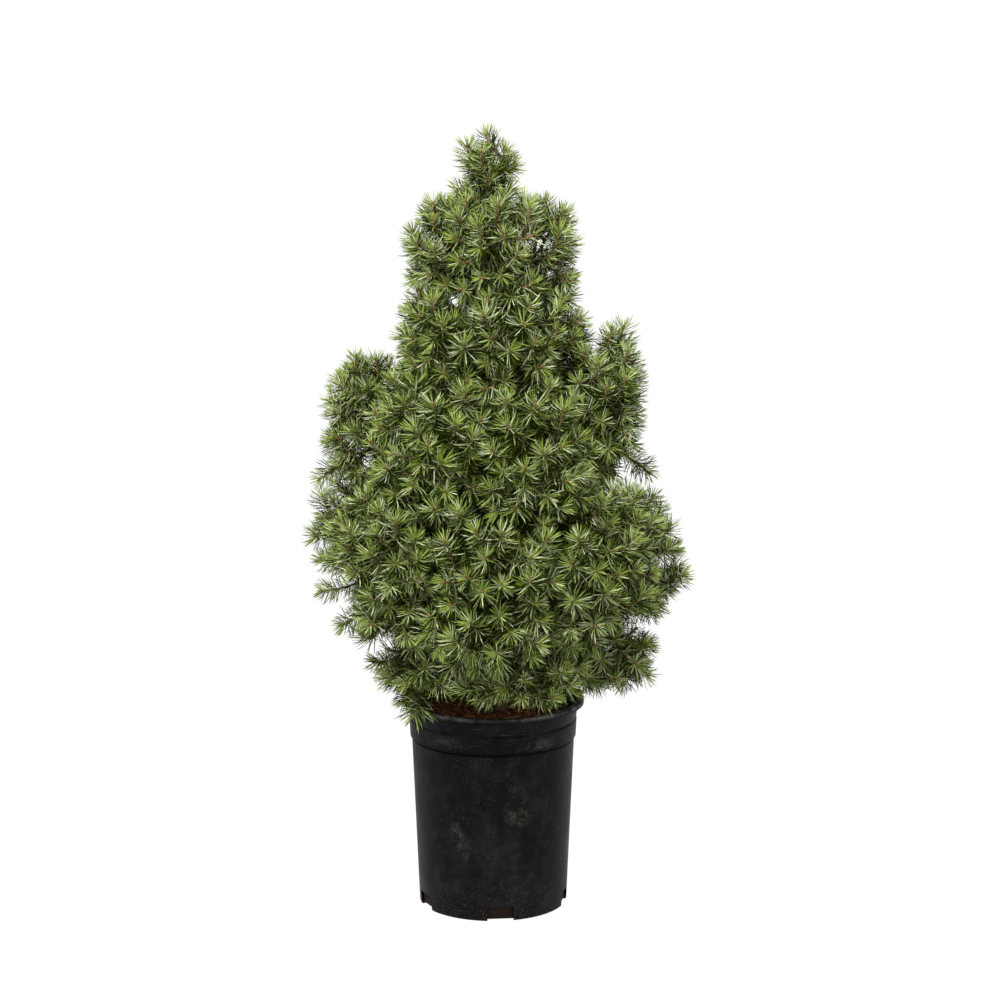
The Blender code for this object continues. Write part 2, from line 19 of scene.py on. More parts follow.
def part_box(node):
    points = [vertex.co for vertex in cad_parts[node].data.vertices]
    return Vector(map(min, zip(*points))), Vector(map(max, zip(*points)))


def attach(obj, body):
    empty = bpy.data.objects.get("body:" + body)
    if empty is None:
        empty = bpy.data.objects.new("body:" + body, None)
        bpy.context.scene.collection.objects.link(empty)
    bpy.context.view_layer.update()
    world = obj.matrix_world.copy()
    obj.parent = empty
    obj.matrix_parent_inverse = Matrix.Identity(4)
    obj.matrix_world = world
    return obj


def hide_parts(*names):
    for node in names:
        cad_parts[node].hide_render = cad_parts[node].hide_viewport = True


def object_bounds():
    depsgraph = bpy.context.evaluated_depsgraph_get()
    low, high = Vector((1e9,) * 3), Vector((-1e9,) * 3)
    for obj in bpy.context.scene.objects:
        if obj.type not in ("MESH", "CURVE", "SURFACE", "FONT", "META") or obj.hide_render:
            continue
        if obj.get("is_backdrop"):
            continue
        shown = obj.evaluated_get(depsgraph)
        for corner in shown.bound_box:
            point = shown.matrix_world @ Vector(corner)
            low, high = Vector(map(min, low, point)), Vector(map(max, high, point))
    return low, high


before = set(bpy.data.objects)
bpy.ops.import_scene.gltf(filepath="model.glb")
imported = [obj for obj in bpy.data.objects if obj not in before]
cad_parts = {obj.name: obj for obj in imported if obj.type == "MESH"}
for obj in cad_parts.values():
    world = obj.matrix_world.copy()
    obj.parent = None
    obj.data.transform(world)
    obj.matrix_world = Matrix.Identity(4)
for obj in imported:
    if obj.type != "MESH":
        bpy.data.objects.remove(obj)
CAD_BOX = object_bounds()
UP = Vector((0.0, 0.0, 1.0))
BODY = "root"
SEED = 7
TIER_SEEDS = 10
LAYER_SEEDS = 1000
MOST_TRIANGLES = 195_000

# The pot, as the solids have it.
POT_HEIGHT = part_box("pot")[1].z
RIM_RADIUS = 0.0865
LIP_HEIGHT = 0.0048
BAND_RADIUS = 0.0812
BAND_FOOT = 0.1825
LOWER_BAND_RADIUS = 0.0796
LOWER_BAND_FOOT = 0.1638
BODY_TOP_RADIUS = 0.0772
BODY_FOOT_RADIUS = 0.0704
STEP_DEPTH = 0.0012
GROOVE_DEPTH = 0.0009
FOOT_CHAMFER = 0.0012
POT_WALL = 0.0015
POT_FLOOR = 0.0025
POT_STEPS = 200
NOTCH_COUNT = 5
NOTCH_WIDTH = 0.025
NOTCH_HEIGHT = 0.0145
NOTCH_DEPTH = 0.0085
NOTCH_ROUND = 0.0022
NOTCH_PAST = 0.004
FIRST_NOTCH = math.radians(276)
SHARP_ANGLE = math.radians(35)

# Smudges on the pot: middle, radii and tint. Mossy specks, a dusty scratch, and scuffs on the bands.
POT_SMUDGES = (
    ((0.022, -0.070, 0.120), (0.020, 0.030, 0.020), (0.045, 0.046, 0.029)),
    ((0.025, -0.068, 0.102), (0.016, 0.030, 0.012), (0.075, 0.075, 0.056)),
    ((-0.034, -0.062, 0.086), (0.009, 0.030, 0.012), (0.055, 0.055, 0.053)),
    ((-0.028, -0.064, 0.072), (0.008, 0.030, 0.014), (0.075, 0.075, 0.071)),
    ((0.034, -0.068, 0.170), (0.034, 0.030, 0.008), (0.130, 0.127, 0.118)),
    ((-0.040, -0.064, 0.174), (0.020, 0.030, 0.006), (0.050, 0.049, 0.047)),
    ((0.010, -0.070, 0.030), (0.040, 0.030, 0.030), (0.018, 0.020, 0.026)),
)

# The mix in the pot.
SOIL_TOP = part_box("soil")[1].z
SOIL_EDGE = 0.1845
SOIL_RADIUS = LOWER_BAND_RADIUS - POT_WALL - 0.0006
SOIL_ROUGH = 0.0011
SOIL_RINGS = 46
SOIL_STEPS = 150
CHIPS = 900
CHIP_LENGTHS = (0.002, 0.0075)
CHIP_WIDTH_SHARES = (0.4, 0.8)
CHIP_HEIGHT_SHARES = (0.25, 0.5)
CHIP_CORNERS = (0.75, 1.15)
FALLEN_NEEDLES = 520
FALLEN_LENGTHS = (0.009, 0.014)
FALLEN_ABOVE = 0.0014

# The trunk and the boughs.
GAP = 0.0003
TRUNK_FOOT = SOIL_TOP + GAP
TRUNK_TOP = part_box("trunk")[1].z
TRUNK_RADIUS = 0.0085
TRUNK_TIP_RADIUS = 0.0026
FLARE_RADIUS = 0.0065
FLARE_HEIGHT = 0.022
FLARE_LOBES = 5
FLARE_LOBE_DEPTH = 0.0022
TRUNK_RINGS = 300
TRUNK_SIDES = 40
BOUGH_RING_STEP = 0.002
BOUGH_SIDES = 14
BOUGH_RELIEF_SHARE = 0.5
TRUNK_LEAN = -0.004
TRUNK_SWAY = 0.0018
STAGGER = 0.026
HEIGHT_STAGGER_SHARE = 0.6
BOUGH_END_IN = 0.62
BOUGH_END_DOWN = 0.34
BOUGH_BEND = 0.5
BOUGH_TAPER = 0.45
BOUGH_SEGMENTS = 4
PLATE_SIZE = 0.0042
PLATE_RELIEF = 0.0006

# The room round a mass, and the main twigs in it.
SPACE_MARGIN = 0.0008
POT_CLEARANCE = 0.0024
RIM_VIEW = 0.015
RIM_SIDE_VIEW = 0.008
RIM_VIEW_SLOPE = 0.10
STEM_TIP_RADIUS = 0.0012
STEM_RING_STEP = 0.005
STEM_SIDES = 8
STEM_SHARE = 0.85
SHOOTS_PER_MASS = 6
SHOOT_REACH = (0.93, 1.0)
TIP_TUFT = 0.013
INWARD_STRETCH = 1.6
FULLNESS = 2.5
BRANCH_ANGLE_RATIO = 0.75
ROOTS_ON_STEM = (0.12, 0.92)
SPREAD = math.radians(105)
GOLDEN_ANGLE = math.pi * (3 - math.sqrt(5))
GOLDEN_SHARE = (math.sqrt(5) - 1) / 2

# The finer twigs: how many places are tried in a mass, how near tips may be, and how the twigs run.
# A layer of tips has shares of the room to its edge, the least distance between tips, and a greatest depth.
PLACES_TRIED = 300
TIP_LAYERS = (
    ((1.03, 1.08), 0.0480, 0.000),
    ((0.91, 1.00), 0.0190, 0.022),
    ((0.55, 0.90), 0.0205, 0.045),
    ((0.20, 0.60), 0.0230, 0.080),
)
TIP_SHORT_OF_EDGE = 0.007
TIP_PAST_PLANE = 0.003
TRUNK_CLEARANCE = 0.003
ROOTS_ON_TWIG = (0.15, 0.9)
TWIG_BEND = 0.42
TWIG_STEP = 0.006
FEWEST_TWIG_STEPS = 4
TWIG_LIFT = 0.9
TWIG_JITTER = 0.36
TWIG_ROOT_RADIUS = 0.0013
MAIN_TWIG_RADIUS = TWIG_ROOT_RADIUS * 1.4
TWIG_TIP_RADIUS = 0.0012
OLD_TWIG_SIDES = 3
YOUNG_TWIG_SIDES = 5
YOUNG_LENGTH = 0.016
BUD_LENGTH = 0.0048
BUD_RADIUS = 0.0014
BUD_WIDEST_AT = 0.4
BUD_SUNK = 0.001
SIDE_BUDS = 2
SIDE_BUD_SHARE = 0.7
SIDE_BUD_LEAN = math.radians(42)

# The camera, the light and the floor.
CAMERA_PLACE = (0.0066, -2.75, 0.915)
CAMERA_PITCH = math.radians(-10.8)
CAMERA_LENS = 107.3
SENSOR_WIDTH = 36.0
AMBIENT_LIGHT = 0.5
LIGHTS_AIM = (0.0, 0.0, 0.4)
FLOOR_RADIUS = 40.0

# Gaps where the sky shows between sprays: where the line of sight crosses y = 0, as x and z, and radius.
SKY_GAPS = (
    (0.041, 0.636, 0.019),
    (0.052, 0.606, 0.011),
    (0.018, 0.668, 0.007),
    (0.131, 0.421, 0.014),
    (0.136, 0.268, 0.018),
    (0.112, 0.248, 0.013),
    (0.160, 0.333, 0.011),
    (-0.121, 0.431, 0.014),
    (-0.136, 0.447, 0.008),
    (-0.138, 0.408, 0.007),
    (-0.152, 0.300, 0.026),
    (-0.105, 0.252, 0.019),
    (-0.034, 0.581, 0.008),
    (0.093, 0.505, 0.010),
)
GAP_NEEDLES = 0.3

# The furthest sprays, beyond the masses' edges: the mass each one grows from, and where it ends.
FAR_SPRAYS = (
    ("leader", (-0.005, 0.000, 0.732)),
    ("leader", (-0.033, -0.006, 0.680)),
    ("leader", (0.020, -0.004, 0.704)),
    ("leader", (0.016, -0.008, 0.682)),
    ("leader", (0.002, -0.012, 0.702)),
    ("leader", (-0.018, -0.008, 0.706)),
    ("crest_1", (0.066, -0.010, 0.662)),
    ("shoulder_1", (0.146, -0.010, 0.418)),
    ("shoulder_4", (-0.162, -0.010, 0.412)),
    ("broad_1", (0.180, 0.000, 0.318)),
    ("broad_1", (0.150, 0.000, 0.394)),
    ("broad_4", (-0.168, 0.000, 0.356)),
    ("broad_5", (-0.160, -0.040, 0.312)),
    ("broad_5", (-0.140, -0.060, 0.284)),
    ("skirt_1", (0.146, -0.020, 0.226)),
    ("skirt_4", (-0.073, -0.066, 0.199)),
    ("skirt_4", (-0.084, -0.047, 0.207)),
)
FAR_LIFT = 0.3

# The needles: how many to a metre of twig, how long, how wide, and how far they lean away from the twig.
NEEDLES_PER_METRE = 3800
STAR_NEEDLES_PER_METRE = 5800
STAR_LENGTH = 0.018
BEARING_LENGTH = 0.050
FAR_BEARING = 0.030
MOST_BEARING = 0.92
NEEDLE_LENGTH = 0.0168
TIP_NEEDLE_LENGTH = 0.0122
NEEDLE_WIDTH = 0.00079
NEEDLE_CURVE = math.radians(7)
NEEDLE_BEND_AT = 0.72
NEEDLE_FOOT_WIDTH = 0.8
NEEDLE_FOOT_OUT = 0.6
NEEDLE_TURN_CHANGE = 0.25
LENGTH_CHANGE = 0.10
LENGTH_LIMITS = (0.7, 1.2)
LEAN = math.radians(58)
LEAN_CHANGE = math.radians(13)
TIP_LEAN = math.radians(26)
SPRAY_CHANGE = 0.10
LEAN_GROWS_OVER = 0.007
TUFT_NEEDLES = 8
TUFT_SPAN = 0.0012
FRESH_LENGTH = 0.0030
FRESH_SHARE = 0.6
OLD_LENGTH = 0.030
INNER_DEPTH = 0.030

# Shares of light and green needles in a spray, one pair for each kind of spray; the rest are deep green.
SPRAY_SHARES = ((0.33, 0.14), (0.41, 0.12), (0.47, 0.11))
PALE_HIGHLIGHT_SHARE = 0.17
INNER_SHADE = 0.4


@dataclass
class Tier:
    """Boughs that leave the trunk near one height, and the masses they end in."""

    name: str
    count: int
    first_azimuth: float
    root_height: float
    bough_radius: float
    distance: float
    height: float
    half: tuple
    rise: float


# Distance and height place the middle of a mass. Half is its half size outward, sideways and upward.
TIERS = (
    Tier("crest", 4, 4, 0.562, 0.0021, 0.043, 0.622, (0.039, 0.050, 0.064), 1.2),
    Tier("upper", 5, 0, 0.470, 0.0026, 0.050, 0.540, (0.044, 0.056, 0.080), 0.9),
    Tier("shoulder", 6, -8, 0.366, 0.0034, 0.080, 0.446, (0.062, 0.072, 0.088), 0.8),
    Tier("broad", 7, 12, 0.262, 0.0038, 0.102, 0.343, (0.070, 0.078, 0.094), 0.5),
    Tier("skirt", 5, 0, 0.213, 0.0030, 0.082, 0.254, (0.054, 0.074, 0.050), 0.1),
)

# Where single masses depart from their tier: (further out, higher, added to each half size).
DEPARTURES = {
    "upper_1": (-0.002, 0.004, (0.0, 0.0, -0.006)),
    "shoulder_1": (0.020, 0.044, (-0.020, -0.014, 0.000)),
    "shoulder_4": (0.030, 0.010, (-0.010, -0.014, -0.016)),
    "broad_1": (0.014, -0.006, (0.002, -0.010, -0.028)),
    "broad_4": (0.006, 0.006, (0.000, -0.010, -0.020)),
    "broad_5": (-0.004, 0.000, (0.000, 0.000, -0.006)),
    "skirt_1": (0.020, 0.003, (0.0, 0.0, -0.012)),
    "skirt_3": (-0.014, 0.002, (0.0, 0.0, 0.0)),
    "skirt_4": (-0.012, -0.002, (0.0, 0.0, 0.0)),
}

LEADER_CENTRE = Vector((TRUNK_LEAN, 0.0, 0.684))
LEADER_HALF = (0.033, 0.033, 0.055)
LEADER_SPREAD = math.radians(125)
LEADER_STEM_BELOW = 0.01


@dataclass
class Mass:
    """One mass of foliage: its space, the bough it grows on, and the way it faces."""

    name: str
    centre: Vector
    half: tuple
    azimuth: float
    facing: Vector
    spread: float
    bough: list
    bough_radii: list
    seed: int

    @property
    def size(self):
        return sum(self.half) / 3

    @property
    def axes(self):
        outward = outward_at(self.azimuth)
        return outward, UP.cross(outward), UP

    @property
    def stem(self):
        """Start and end of the stem, which goes on straight from the bough's end."""
        before, start = self.bough[-2:]
        return start, start + (start - before).normalized() * self.size * STEM_SHARE


@dataclass
class Twig:
    """A twig's line from root to tip, how much of it bears needles, and its tip's depth in the crown."""

    points: list
    root_radius: float
    bearing: float
    depth: float
    far: bool = False


# Placing the trunk, the boughs and the masses


def outward_at(azimuth):
    return Vector((math.cos(azimuth), math.sin(azimuth), 0.0))


def trunk_point(height):
    """The trunk's centreline: a slight lean with a slow sway, upright where it leaves the mix."""
    share = (height - TRUNK_FOOT) / (TRUNK_TOP - TRUNK_FOOT)
    sway = TRUNK_SWAY * math.sin(share * math.tau) * share
    return Vector((TRUNK_LEAN * share * share + sway, sway, height))


def trunk_radius(height):
    share = (height - TRUNK_FOOT) / (TRUNK_TOP - TRUNK_FOOT)
    taper = TRUNK_RADIUS + (TRUNK_TIP_RADIUS - TRUNK_RADIUS) * share
    flare = FLARE_RADIUS * max(0.0, 1 - (height - TRUNK_FOOT) / FLARE_HEIGHT) ** 2
    return taper + flare


def bent_line(start, end, way, bend, steps):
    """Points on a curve from start to end that arrives along way."""
    middle = end - way * bend * (end - start).length
    shares = [step / steps for step in range(steps + 1)]
    return [start.lerp(middle, t).lerp(middle.lerp(end, t), t) for t in shares]


def bough_radii(root_radius):
    steps = range(BOUGH_SEGMENTS + 1)
    return [root_radius * (1 - BOUGH_TAPER * step / BOUGH_SEGMENTS) for step in steps]


def tier_masses(tier, first_seed):
    for index in range(tier.count):
        name = f"{tier.name}_{index + 1}"
        out, higher, wider = DEPARTURES.get(name, (0.0, 0.0, (0.0, 0.0, 0.0)))
        azimuth = math.radians(tier.first_azimuth) + math.tau * index / tier.count
        stagger = STAGGER * ((index * GOLDEN_SHARE) % 1 - 0.5)
        height = tier.height + higher + stagger * HEIGHT_STAGGER_SHARE
        centre = outward_at(azimuth) * (tier.distance + out) + UP * height
        half = tuple(size + extra for size, extra in zip(tier.half, wider))
        facing = (outward_at(azimuth) + UP * tier.rise).normalized()
        start = trunk_point(tier.root_height + stagger)
        inward = outward_at(azimuth) * half[0] * BOUGH_END_IN
        end = centre - inward - UP * half[2] * BOUGH_END_DOWN
        yield Mass(
            name=name,
            centre=centre,
            half=half,
            azimuth=azimuth,
            facing=facing,
            spread=SPREAD,
            bough=bent_line(start, end, facing, BOUGH_BEND, BOUGH_SEGMENTS),
            bough_radii=bough_radii(tier.bough_radius),
            seed=first_seed + index,
        )


def leader_mass():
    """The mass at the top, which grows on the trunk's own tip."""
    heights = [TRUNK_TOP - LEADER_STEM_BELOW, TRUNK_TOP]
    return Mass(
        name="leader",
        centre=LEADER_CENTRE,
        half=LEADER_HALF,
        azimuth=0.0,
        facing=UP,
        spread=LEADER_SPREAD,
        bough=[trunk_point(height) for height in heights],
        bough_radii=[trunk_radius(height) for height in heights],
        seed=SEED,
    )


def all_masses():
    masses = [leader_mass()]
    for tier in TIERS:
        masses.extend(tier_masses(tier, SEED + TIER_SEEDS * len(masses)))
    return masses


# The space that each mass keeps to


def full_length(mass, offset):
    """Length of an offset in the measure of the mass's full-cheeked ellipsoid, whose surface is at 1."""
    parts = [offset.dot(axis) / size for axis, size in zip(mass.axes, mass.half)]
    if parts[0] < 0 and mass.name != "leader":
        parts[0] /= INWARD_STRETCH
    return sum(abs(part) ** FULLNESS for part in parts) ** (1 / FULLNESS)


def ellipsoid_exit(mass, direction):
    """How far the mass's ellipsoid, drawn out towards the trunk, reaches from its middle."""
    return 1 / full_length(mass, direction)


def depth_in_crown(point, masses):
    """How far a point lies inside the crown, in the mass that covers it most."""
    return max((1 - full_length(mass, point - mass.centre)) * mass.size for mass in masses)


def parting_plane(mass, other):
    """Unit normal and offset of the plane that parts two masses, nearer the smaller one."""
    between = other.centre - mass.centre
    offset = (
        other.centre.length_squared
        - other.size**2
        - mass.centre.length_squared
        + mass.size**2
    ) / (2 * between.length)
    return between.normalized(), offset - SPACE_MARGIN


def planes_round(mass, masses):
    return [parting_plane(mass, other) for other in masses if other is not mass]


def room_to_planes(mass, planes, direction):
    """How far the planes that part the mass from the others are from its middle in a direction."""
    room = math.inf
    for normal, offset in planes:
        along = direction.dot(normal)
        if along > 0:
            room = min(room, (offset - mass.centre.dot(normal)) / along)
    return room


def room_along(mass, planes, direction):
    """How far the mass's own space reaches from its middle in a direction."""
    return min(ellipsoid_exit(mass, direction), room_to_planes(mass, planes, direction))


def clear_of_pot(point):
    """True outside the pot's rim, or above it."""
    outside = math.hypot(point.x, point.y) > RIM_RADIUS + POT_CLEARANCE
    return outside or point.z > POT_HEIGHT + POT_CLEARANCE


def leaves_rim_in_view(point):
    """True where a tip's needles don't hide the front of the rim and the mix behind it."""
    beside = abs(point.x) > RIM_RADIUS + RIM_VIEW
    lowest = RIM_SIDE_VIEW if beside else RIM_VIEW - RIM_VIEW_SLOPE * point.y
    return point.z > POT_HEIGHT + lowest


def clear_of_trunk(point):
    if point.z > TRUNK_TOP:
        return True
    return (point - trunk_point(point.z)).length > trunk_radius(point.z) + TRUNK_CLEARANCE


# Meshes


class Batch:
    """Gathers triangles of many small things, to be made into one object."""

    def __init__(self):
        self.points = []
        self.triangles = []
        self.count = 0

    def add(self, points, triangles):
        self.points.append(np.asarray(points, float))
        self.triangles.append(np.asarray(triangles, int) + self.count)
        self.count += len(points)

    def made(self, name, material, smooth=True):
        points = np.concatenate(self.points)
        triangles = np.concatenate(self.triangles)
        return mesh_object(name, points, triangles, material, smooth)


def new_object(name, data):
    made = bpy.data.objects.new(name, data)
    bpy.context.scene.collection.objects.link(made)
    return made


def bmesh_object(name, bm):
    mesh = bpy.data.meshes.new(name)
    bm.to_mesh(mesh)
    bm.free()
    return new_object(name, mesh)


def mesh_object(name, points, triangles, material, smooth=True):
    mesh = bpy.data.meshes.new(name)
    mesh.vertices.add(len(points))
    mesh.vertices.foreach_set("co", np.asarray(points, np.float32).ravel())
    mesh.loops.add(triangles.size)
    mesh.loops.foreach_set("vertex_index", triangles.astype(np.int32).ravel())
    mesh.polygons.add(len(triangles))
    mesh.polygons.foreach_set("loop_start", np.arange(0, triangles.size, 3, dtype=np.int32))
    mesh.polygons.foreach_set("use_smooth", np.full(len(triangles), smooth))
    mesh.update(calc_edges=True)
    mesh.validate()
    mesh.materials.append(material)
    return new_object(name, mesh)


def frames_along(points):
    """Tangent and two normals at each point of a line, turned as little as they can be."""
    points = np.asarray([tuple(point) for point in points])
    tangents = np.gradient(points, axis=0)
    tangents /= np.linalg.norm(tangents, axis=1, keepdims=True)
    helper = np.array((0.0, 0.0, 1.0)) if abs(tangents[0][2]) < 0.9 else np.array((1.0, 0.0, 0.0))
    normal = np.cross(tangents[0], helper)
    normals = []
    for tangent in tangents:
        normal = normal - tangent * normal.dot(tangent)
        normal = normal / np.linalg.norm(normal)
        normals.append(normal)
    normals = np.array(normals)
    return points, tangents, normals, np.cross(tangents, normals)


def ring_triangles(rings, sides):
    """Triangles of a tube of rings, closed at both ends by fans onto two last points."""
    index = np.arange(rings * sides).reshape(rings, sides)
    here, there = index[:-1], index[1:]
    here_next, there_next = np.roll(here, -1, axis=1), np.roll(there, -1, axis=1)
    walls = np.concatenate(
        [
            np.stack([here, here_next, there_next], axis=-1).reshape(-1, 3),
            np.stack([here, there_next, there], axis=-1).reshape(-1, 3),
        ]
    )
    first, last = index[0], index[-1]
    foot, top = rings * sides, rings * sides + 1
    fans = [(foot, first[(k + 1) % sides], first[k]) for k in range(sides)]
    fans += [(top, last[k], last[(k + 1) % sides]) for k in range(sides)]
    return np.concatenate([walls, np.array(fans)])


def add_tube(batch, points, radii, sides, relief=None):
    """A closed tube along points. relief gives a change of radius for a place on it."""
    points, tangents, normals, others = frames_along(points)
    turns = np.arange(sides) * math.tau / sides
    spokes = (
        normals[:, None] * np.cos(turns)[None, :, None]
        + others[:, None] * np.sin(turns)[None, :, None]
    )
    radii = np.broadcast_to(np.asarray(radii, float)[:, None], spokes.shape[:2]).copy()
    if relief:
        for ring, point in enumerate(points):
            for side in range(sides):
                place = point + spokes[ring, side] * radii[ring, side]
                radii[ring, side] += relief(Vector(place), turns[side])
    rings = points[:, None] + spokes * radii[:, :, None]
    ends = np.array([points[0], points[-1]])
    batch.add(np.concatenate([rings.reshape(-1, 3), ends]), ring_triangles(len(points), sides))


def distances_along(points):
    """How far along a line each of its points lies."""
    lengths = np.linalg.norm(np.diff(points, axis=0), axis=1)
    return np.concatenate([[0.0], np.cumsum(lengths)])


def vectors_at(where, along, vectors):
    """Vectors at some distances along a line, from those at its points."""
    return np.stack([np.interp(where, along, column) for column in vectors.T], axis=1)


def finer(points, radii, step):
    """The same line and radii, in even steps of about a given length."""
    points = np.asarray([tuple(point) for point in points])
    along = distances_along(points)
    wanted = np.linspace(0.0, along[-1], max(3, int(along[-1] / step) + 1))
    line = vectors_at(wanted, along, points)
    return [Vector(point) for point in line], np.interp(wanted, along, radii)


# Growing the twigs


def spread_directions(mass, count, spread, draw):
    """Directions round the way that a mass faces, evenly spread by the golden angle."""
    side = mass.facing.orthogonal().normalized()
    across = mass.facing.cross(side)
    phase = draw.uniform(0, math.tau)
    for index in range(count):
        share = (index + 0.35) / count
        polar = math.acos(1 - share * (1 - math.cos(spread)))
        turn = phase + index * GOLDEN_ANGLE + draw.uniform(-0.15, 0.15)
        spoke = side * math.cos(turn) + across * math.sin(turn)
        yield mass.facing * math.cos(polar) + spoke * math.sin(polar)


def leaving_point(axis, tip, shares):
    """Where a twig that ends at tip leaves a straight axis, so that it slants forward."""
    start, end = axis
    line = end - start
    along = (tip - start).dot(line) / line.length
    aside = (tip - start - line.normalized() * along).length
    share = (along - BRANCH_ANGLE_RATIO * aside) / line.length
    first, last = shares
    return start.lerp(end, min(last, max(first, share)))


def nearest_root(axes, tip):
    """Where a twig that ends at tip leaves the nearest of the twigs that can carry it."""
    roots = [leaving_point(axis, tip, ROOTS_ON_TWIG) for axis in axes]
    return min(roots, key=lambda root: (tip - root).length)


def tip_way(direction, draw):
    """The way a twig points at its tip: outward, a little up, and never quite straight."""
    jitter = Vector([draw.gauss(0, TWIG_JITTER) for _ in range(3)])
    return (direction + UP * TWIG_LIFT + jitter).normalized()


def main_twigs(mass, planes):
    """The twigs that the solids have, by the same rule: where each leaves the stem, and its tip."""
    draw = random.Random(mass.seed + LAYER_SEEDS)
    for direction in spread_directions(mass, SHOOTS_PER_MASS, mass.spread, draw):
        room = room_along(mass, planes, direction) - TIP_TUFT
        tip = mass.centre + direction * room * draw.uniform(*SHOOT_REACH)
        if clear_of_pot(tip) and leaves_rim_in_view(tip):
            yield leaving_point(mass.stem, tip, ROOTS_ON_STEM), tip


def nearness_to_gaps(points):
    """How near each point's line of sight passes to the middle of a gap, in radii of the gap."""
    sight = np.array(CAMERA_PLACE)
    share = -sight[1] / (points[:, 1] - sight[1])
    crossing = sight + (points - sight) * share[:, None]
    gaps = np.array(SKY_GAPS)
    away = np.hypot(crossing[:, None, 0] - gaps[:, 0], crossing[:, None, 2] - gaps[:, 1])
    return (away / gaps[:, 2]).min(axis=1)


def open_places(mass, planes, reach, draw):
    """Places for the tips of one layer in a mass, and the ways they point, where a twig may end."""
    directions = list(spread_directions(mass, PLACES_TRIED, math.pi, draw))
    draw.shuffle(directions)
    for direction in directions:
        edge = (ellipsoid_exit(mass, direction) - TIP_SHORT_OF_EDGE) * draw.uniform(*reach)
        parting = room_to_planes(mass, planes, direction) + TIP_PAST_PLANE
        tip = mass.centre + direction * min(edge, parting)
        way = tip_way(direction, draw)
        clear = clear_of_pot(tip) and leaves_rim_in_view(tip) and clear_of_trunk(tip)
        if clear and nearness_to_gaps(np.array([tip]))[0] >= 1:
            yield tip, way


def grow_twigs(masses):
    """The main twigs, the far sprays, and finer twigs whose tips lie evenly over the crown, in layers."""
    planes = {mass.name: planes_round(mass, masses) for mass in masses}
    axes = {mass.name: [mass.stem] for mass in masses}
    centres = {mass.name: mass.centre for mass in masses}
    twigs, tips = [], []

    def grow(root, tip, way, root_radius, bearing, depth, far=False):
        length = (tip - root).length
        points = bent_line(root, tip, way, TWIG_BEND, max(FEWEST_TWIG_STEPS, round(length / TWIG_STEP)))
        twigs.append(Twig(points, root_radius, min(bearing, length * MOST_BEARING), depth, far))
        tips.append(tuple(tip))

    for mass in masses:
        for root, tip in main_twigs(mass, planes[mass.name]):
            axes[mass.name].append((root, tip))
            way = (tip - root).normalized()
            grow(root, tip, way, MAIN_TWIG_RADIUS, BEARING_LENGTH, depth_in_crown(tip, masses))
    for name, place in FAR_SPRAYS:
        tip = Vector(place)
        way = ((tip - centres[name]).normalized() + UP * FAR_LIFT).normalized()
        grow(nearest_root(axes[name], tip), tip, way, TWIG_ROOT_RADIUS, FAR_BEARING, 0.0, far=True)
    for layer, (reach, closest, deepest) in enumerate(TIP_LAYERS, start=2):
        for mass in masses:
            draw = random.Random(mass.seed + LAYER_SEEDS * layer)
            for tip, way in open_places(mass, planes[mass.name], reach, draw):
                depth = depth_in_crown(tip, masses)
                if depth > deepest or np.linalg.norm(np.array(tips) - tip, axis=1).min() < closest:
                    continue
                root = nearest_root(axes[mass.name], tip)
                grow(root, tip, way, TWIG_ROOT_RADIUS, BEARING_LENGTH, depth)
    return twigs


# Needles


class Needles:
    """Needles of one tint, gathered from many twigs."""

    def __init__(self):
        self.rows = []

    def add(self, foot, low_way, high_way, length):
        self.rows.append(np.column_stack([foot, low_way, high_way, length]))

    def pieces(self, name, material):
        """Needles that bend once, in as many objects as the size limit asks."""
        rows = np.concatenate(self.rows)
        per_piece = MOST_TRIANGLES // len(NEEDLE_TRIANGLES)
        for number, first in enumerate(range(0, len(rows), per_piece)):
            part = rows[first : first + per_piece]
            points = needle_points(part)
            shift = np.arange(len(part))[:, None, None] * points.shape[1]
            triangles = (NEEDLE_TRIANGLES[None] + shift).reshape(-1, 3)
            yield mesh_object(f"{name}_{number + 1}", points.reshape(-1, 3), triangles, material)


# Corners of a needle: left and right at its foot, left and right at its bend, and its point.
NEEDLE_TRIANGLES = np.array([(0, 1, 3), (0, 3, 2), (2, 3, 4)])
SLANTED = (0.13, 0.31, 0.94)


def needle_points(rows):
    foot, low_way, high_way, length = rows[:, :3], rows[:, 3:6], rows[:, 6:9], rows[:, 9:10]
    side = np.cross(low_way, SLANTED)
    side /= np.linalg.norm(side, axis=1, keepdims=True)
    other = np.cross(low_way, side)
    roll = (np.arange(len(rows)) * GOLDEN_ANGLE)[:, None]
    across = (side * np.cos(roll) + other * np.sin(roll)) * NEEDLE_WIDTH / 2
    bend = foot + low_way * length * NEEDLE_BEND_AT
    point = bend + high_way * length * (1 - NEEDLE_BEND_AT)
    narrow = across * NEEDLE_FOOT_WIDTH
    return np.stack([foot - narrow, foot + narrow, bend - across, bend + across, point], axis=1)


def turned_to(axis, radial, lean):
    return axis * np.cos(lean)[:, None] + radial * np.sin(lean)[:, None]


def places_behind_tip(bearing, draw):
    """How far behind a twig's tip its needles stand: a tuft, a dense star, and fewer further back."""
    star = min(STAR_LENGTH, bearing)
    tuft = draw.uniform(0, TUFT_SPAN, TUFT_NEEDLES)
    dense = draw.uniform(0, star, int(star * STAR_NEEDLES_PER_METRE))
    sparse = draw.uniform(star, bearing, int((bearing - star) * NEEDLES_PER_METRE))
    return np.concatenate([tuft, np.sort(dense), np.sort(sparse)])


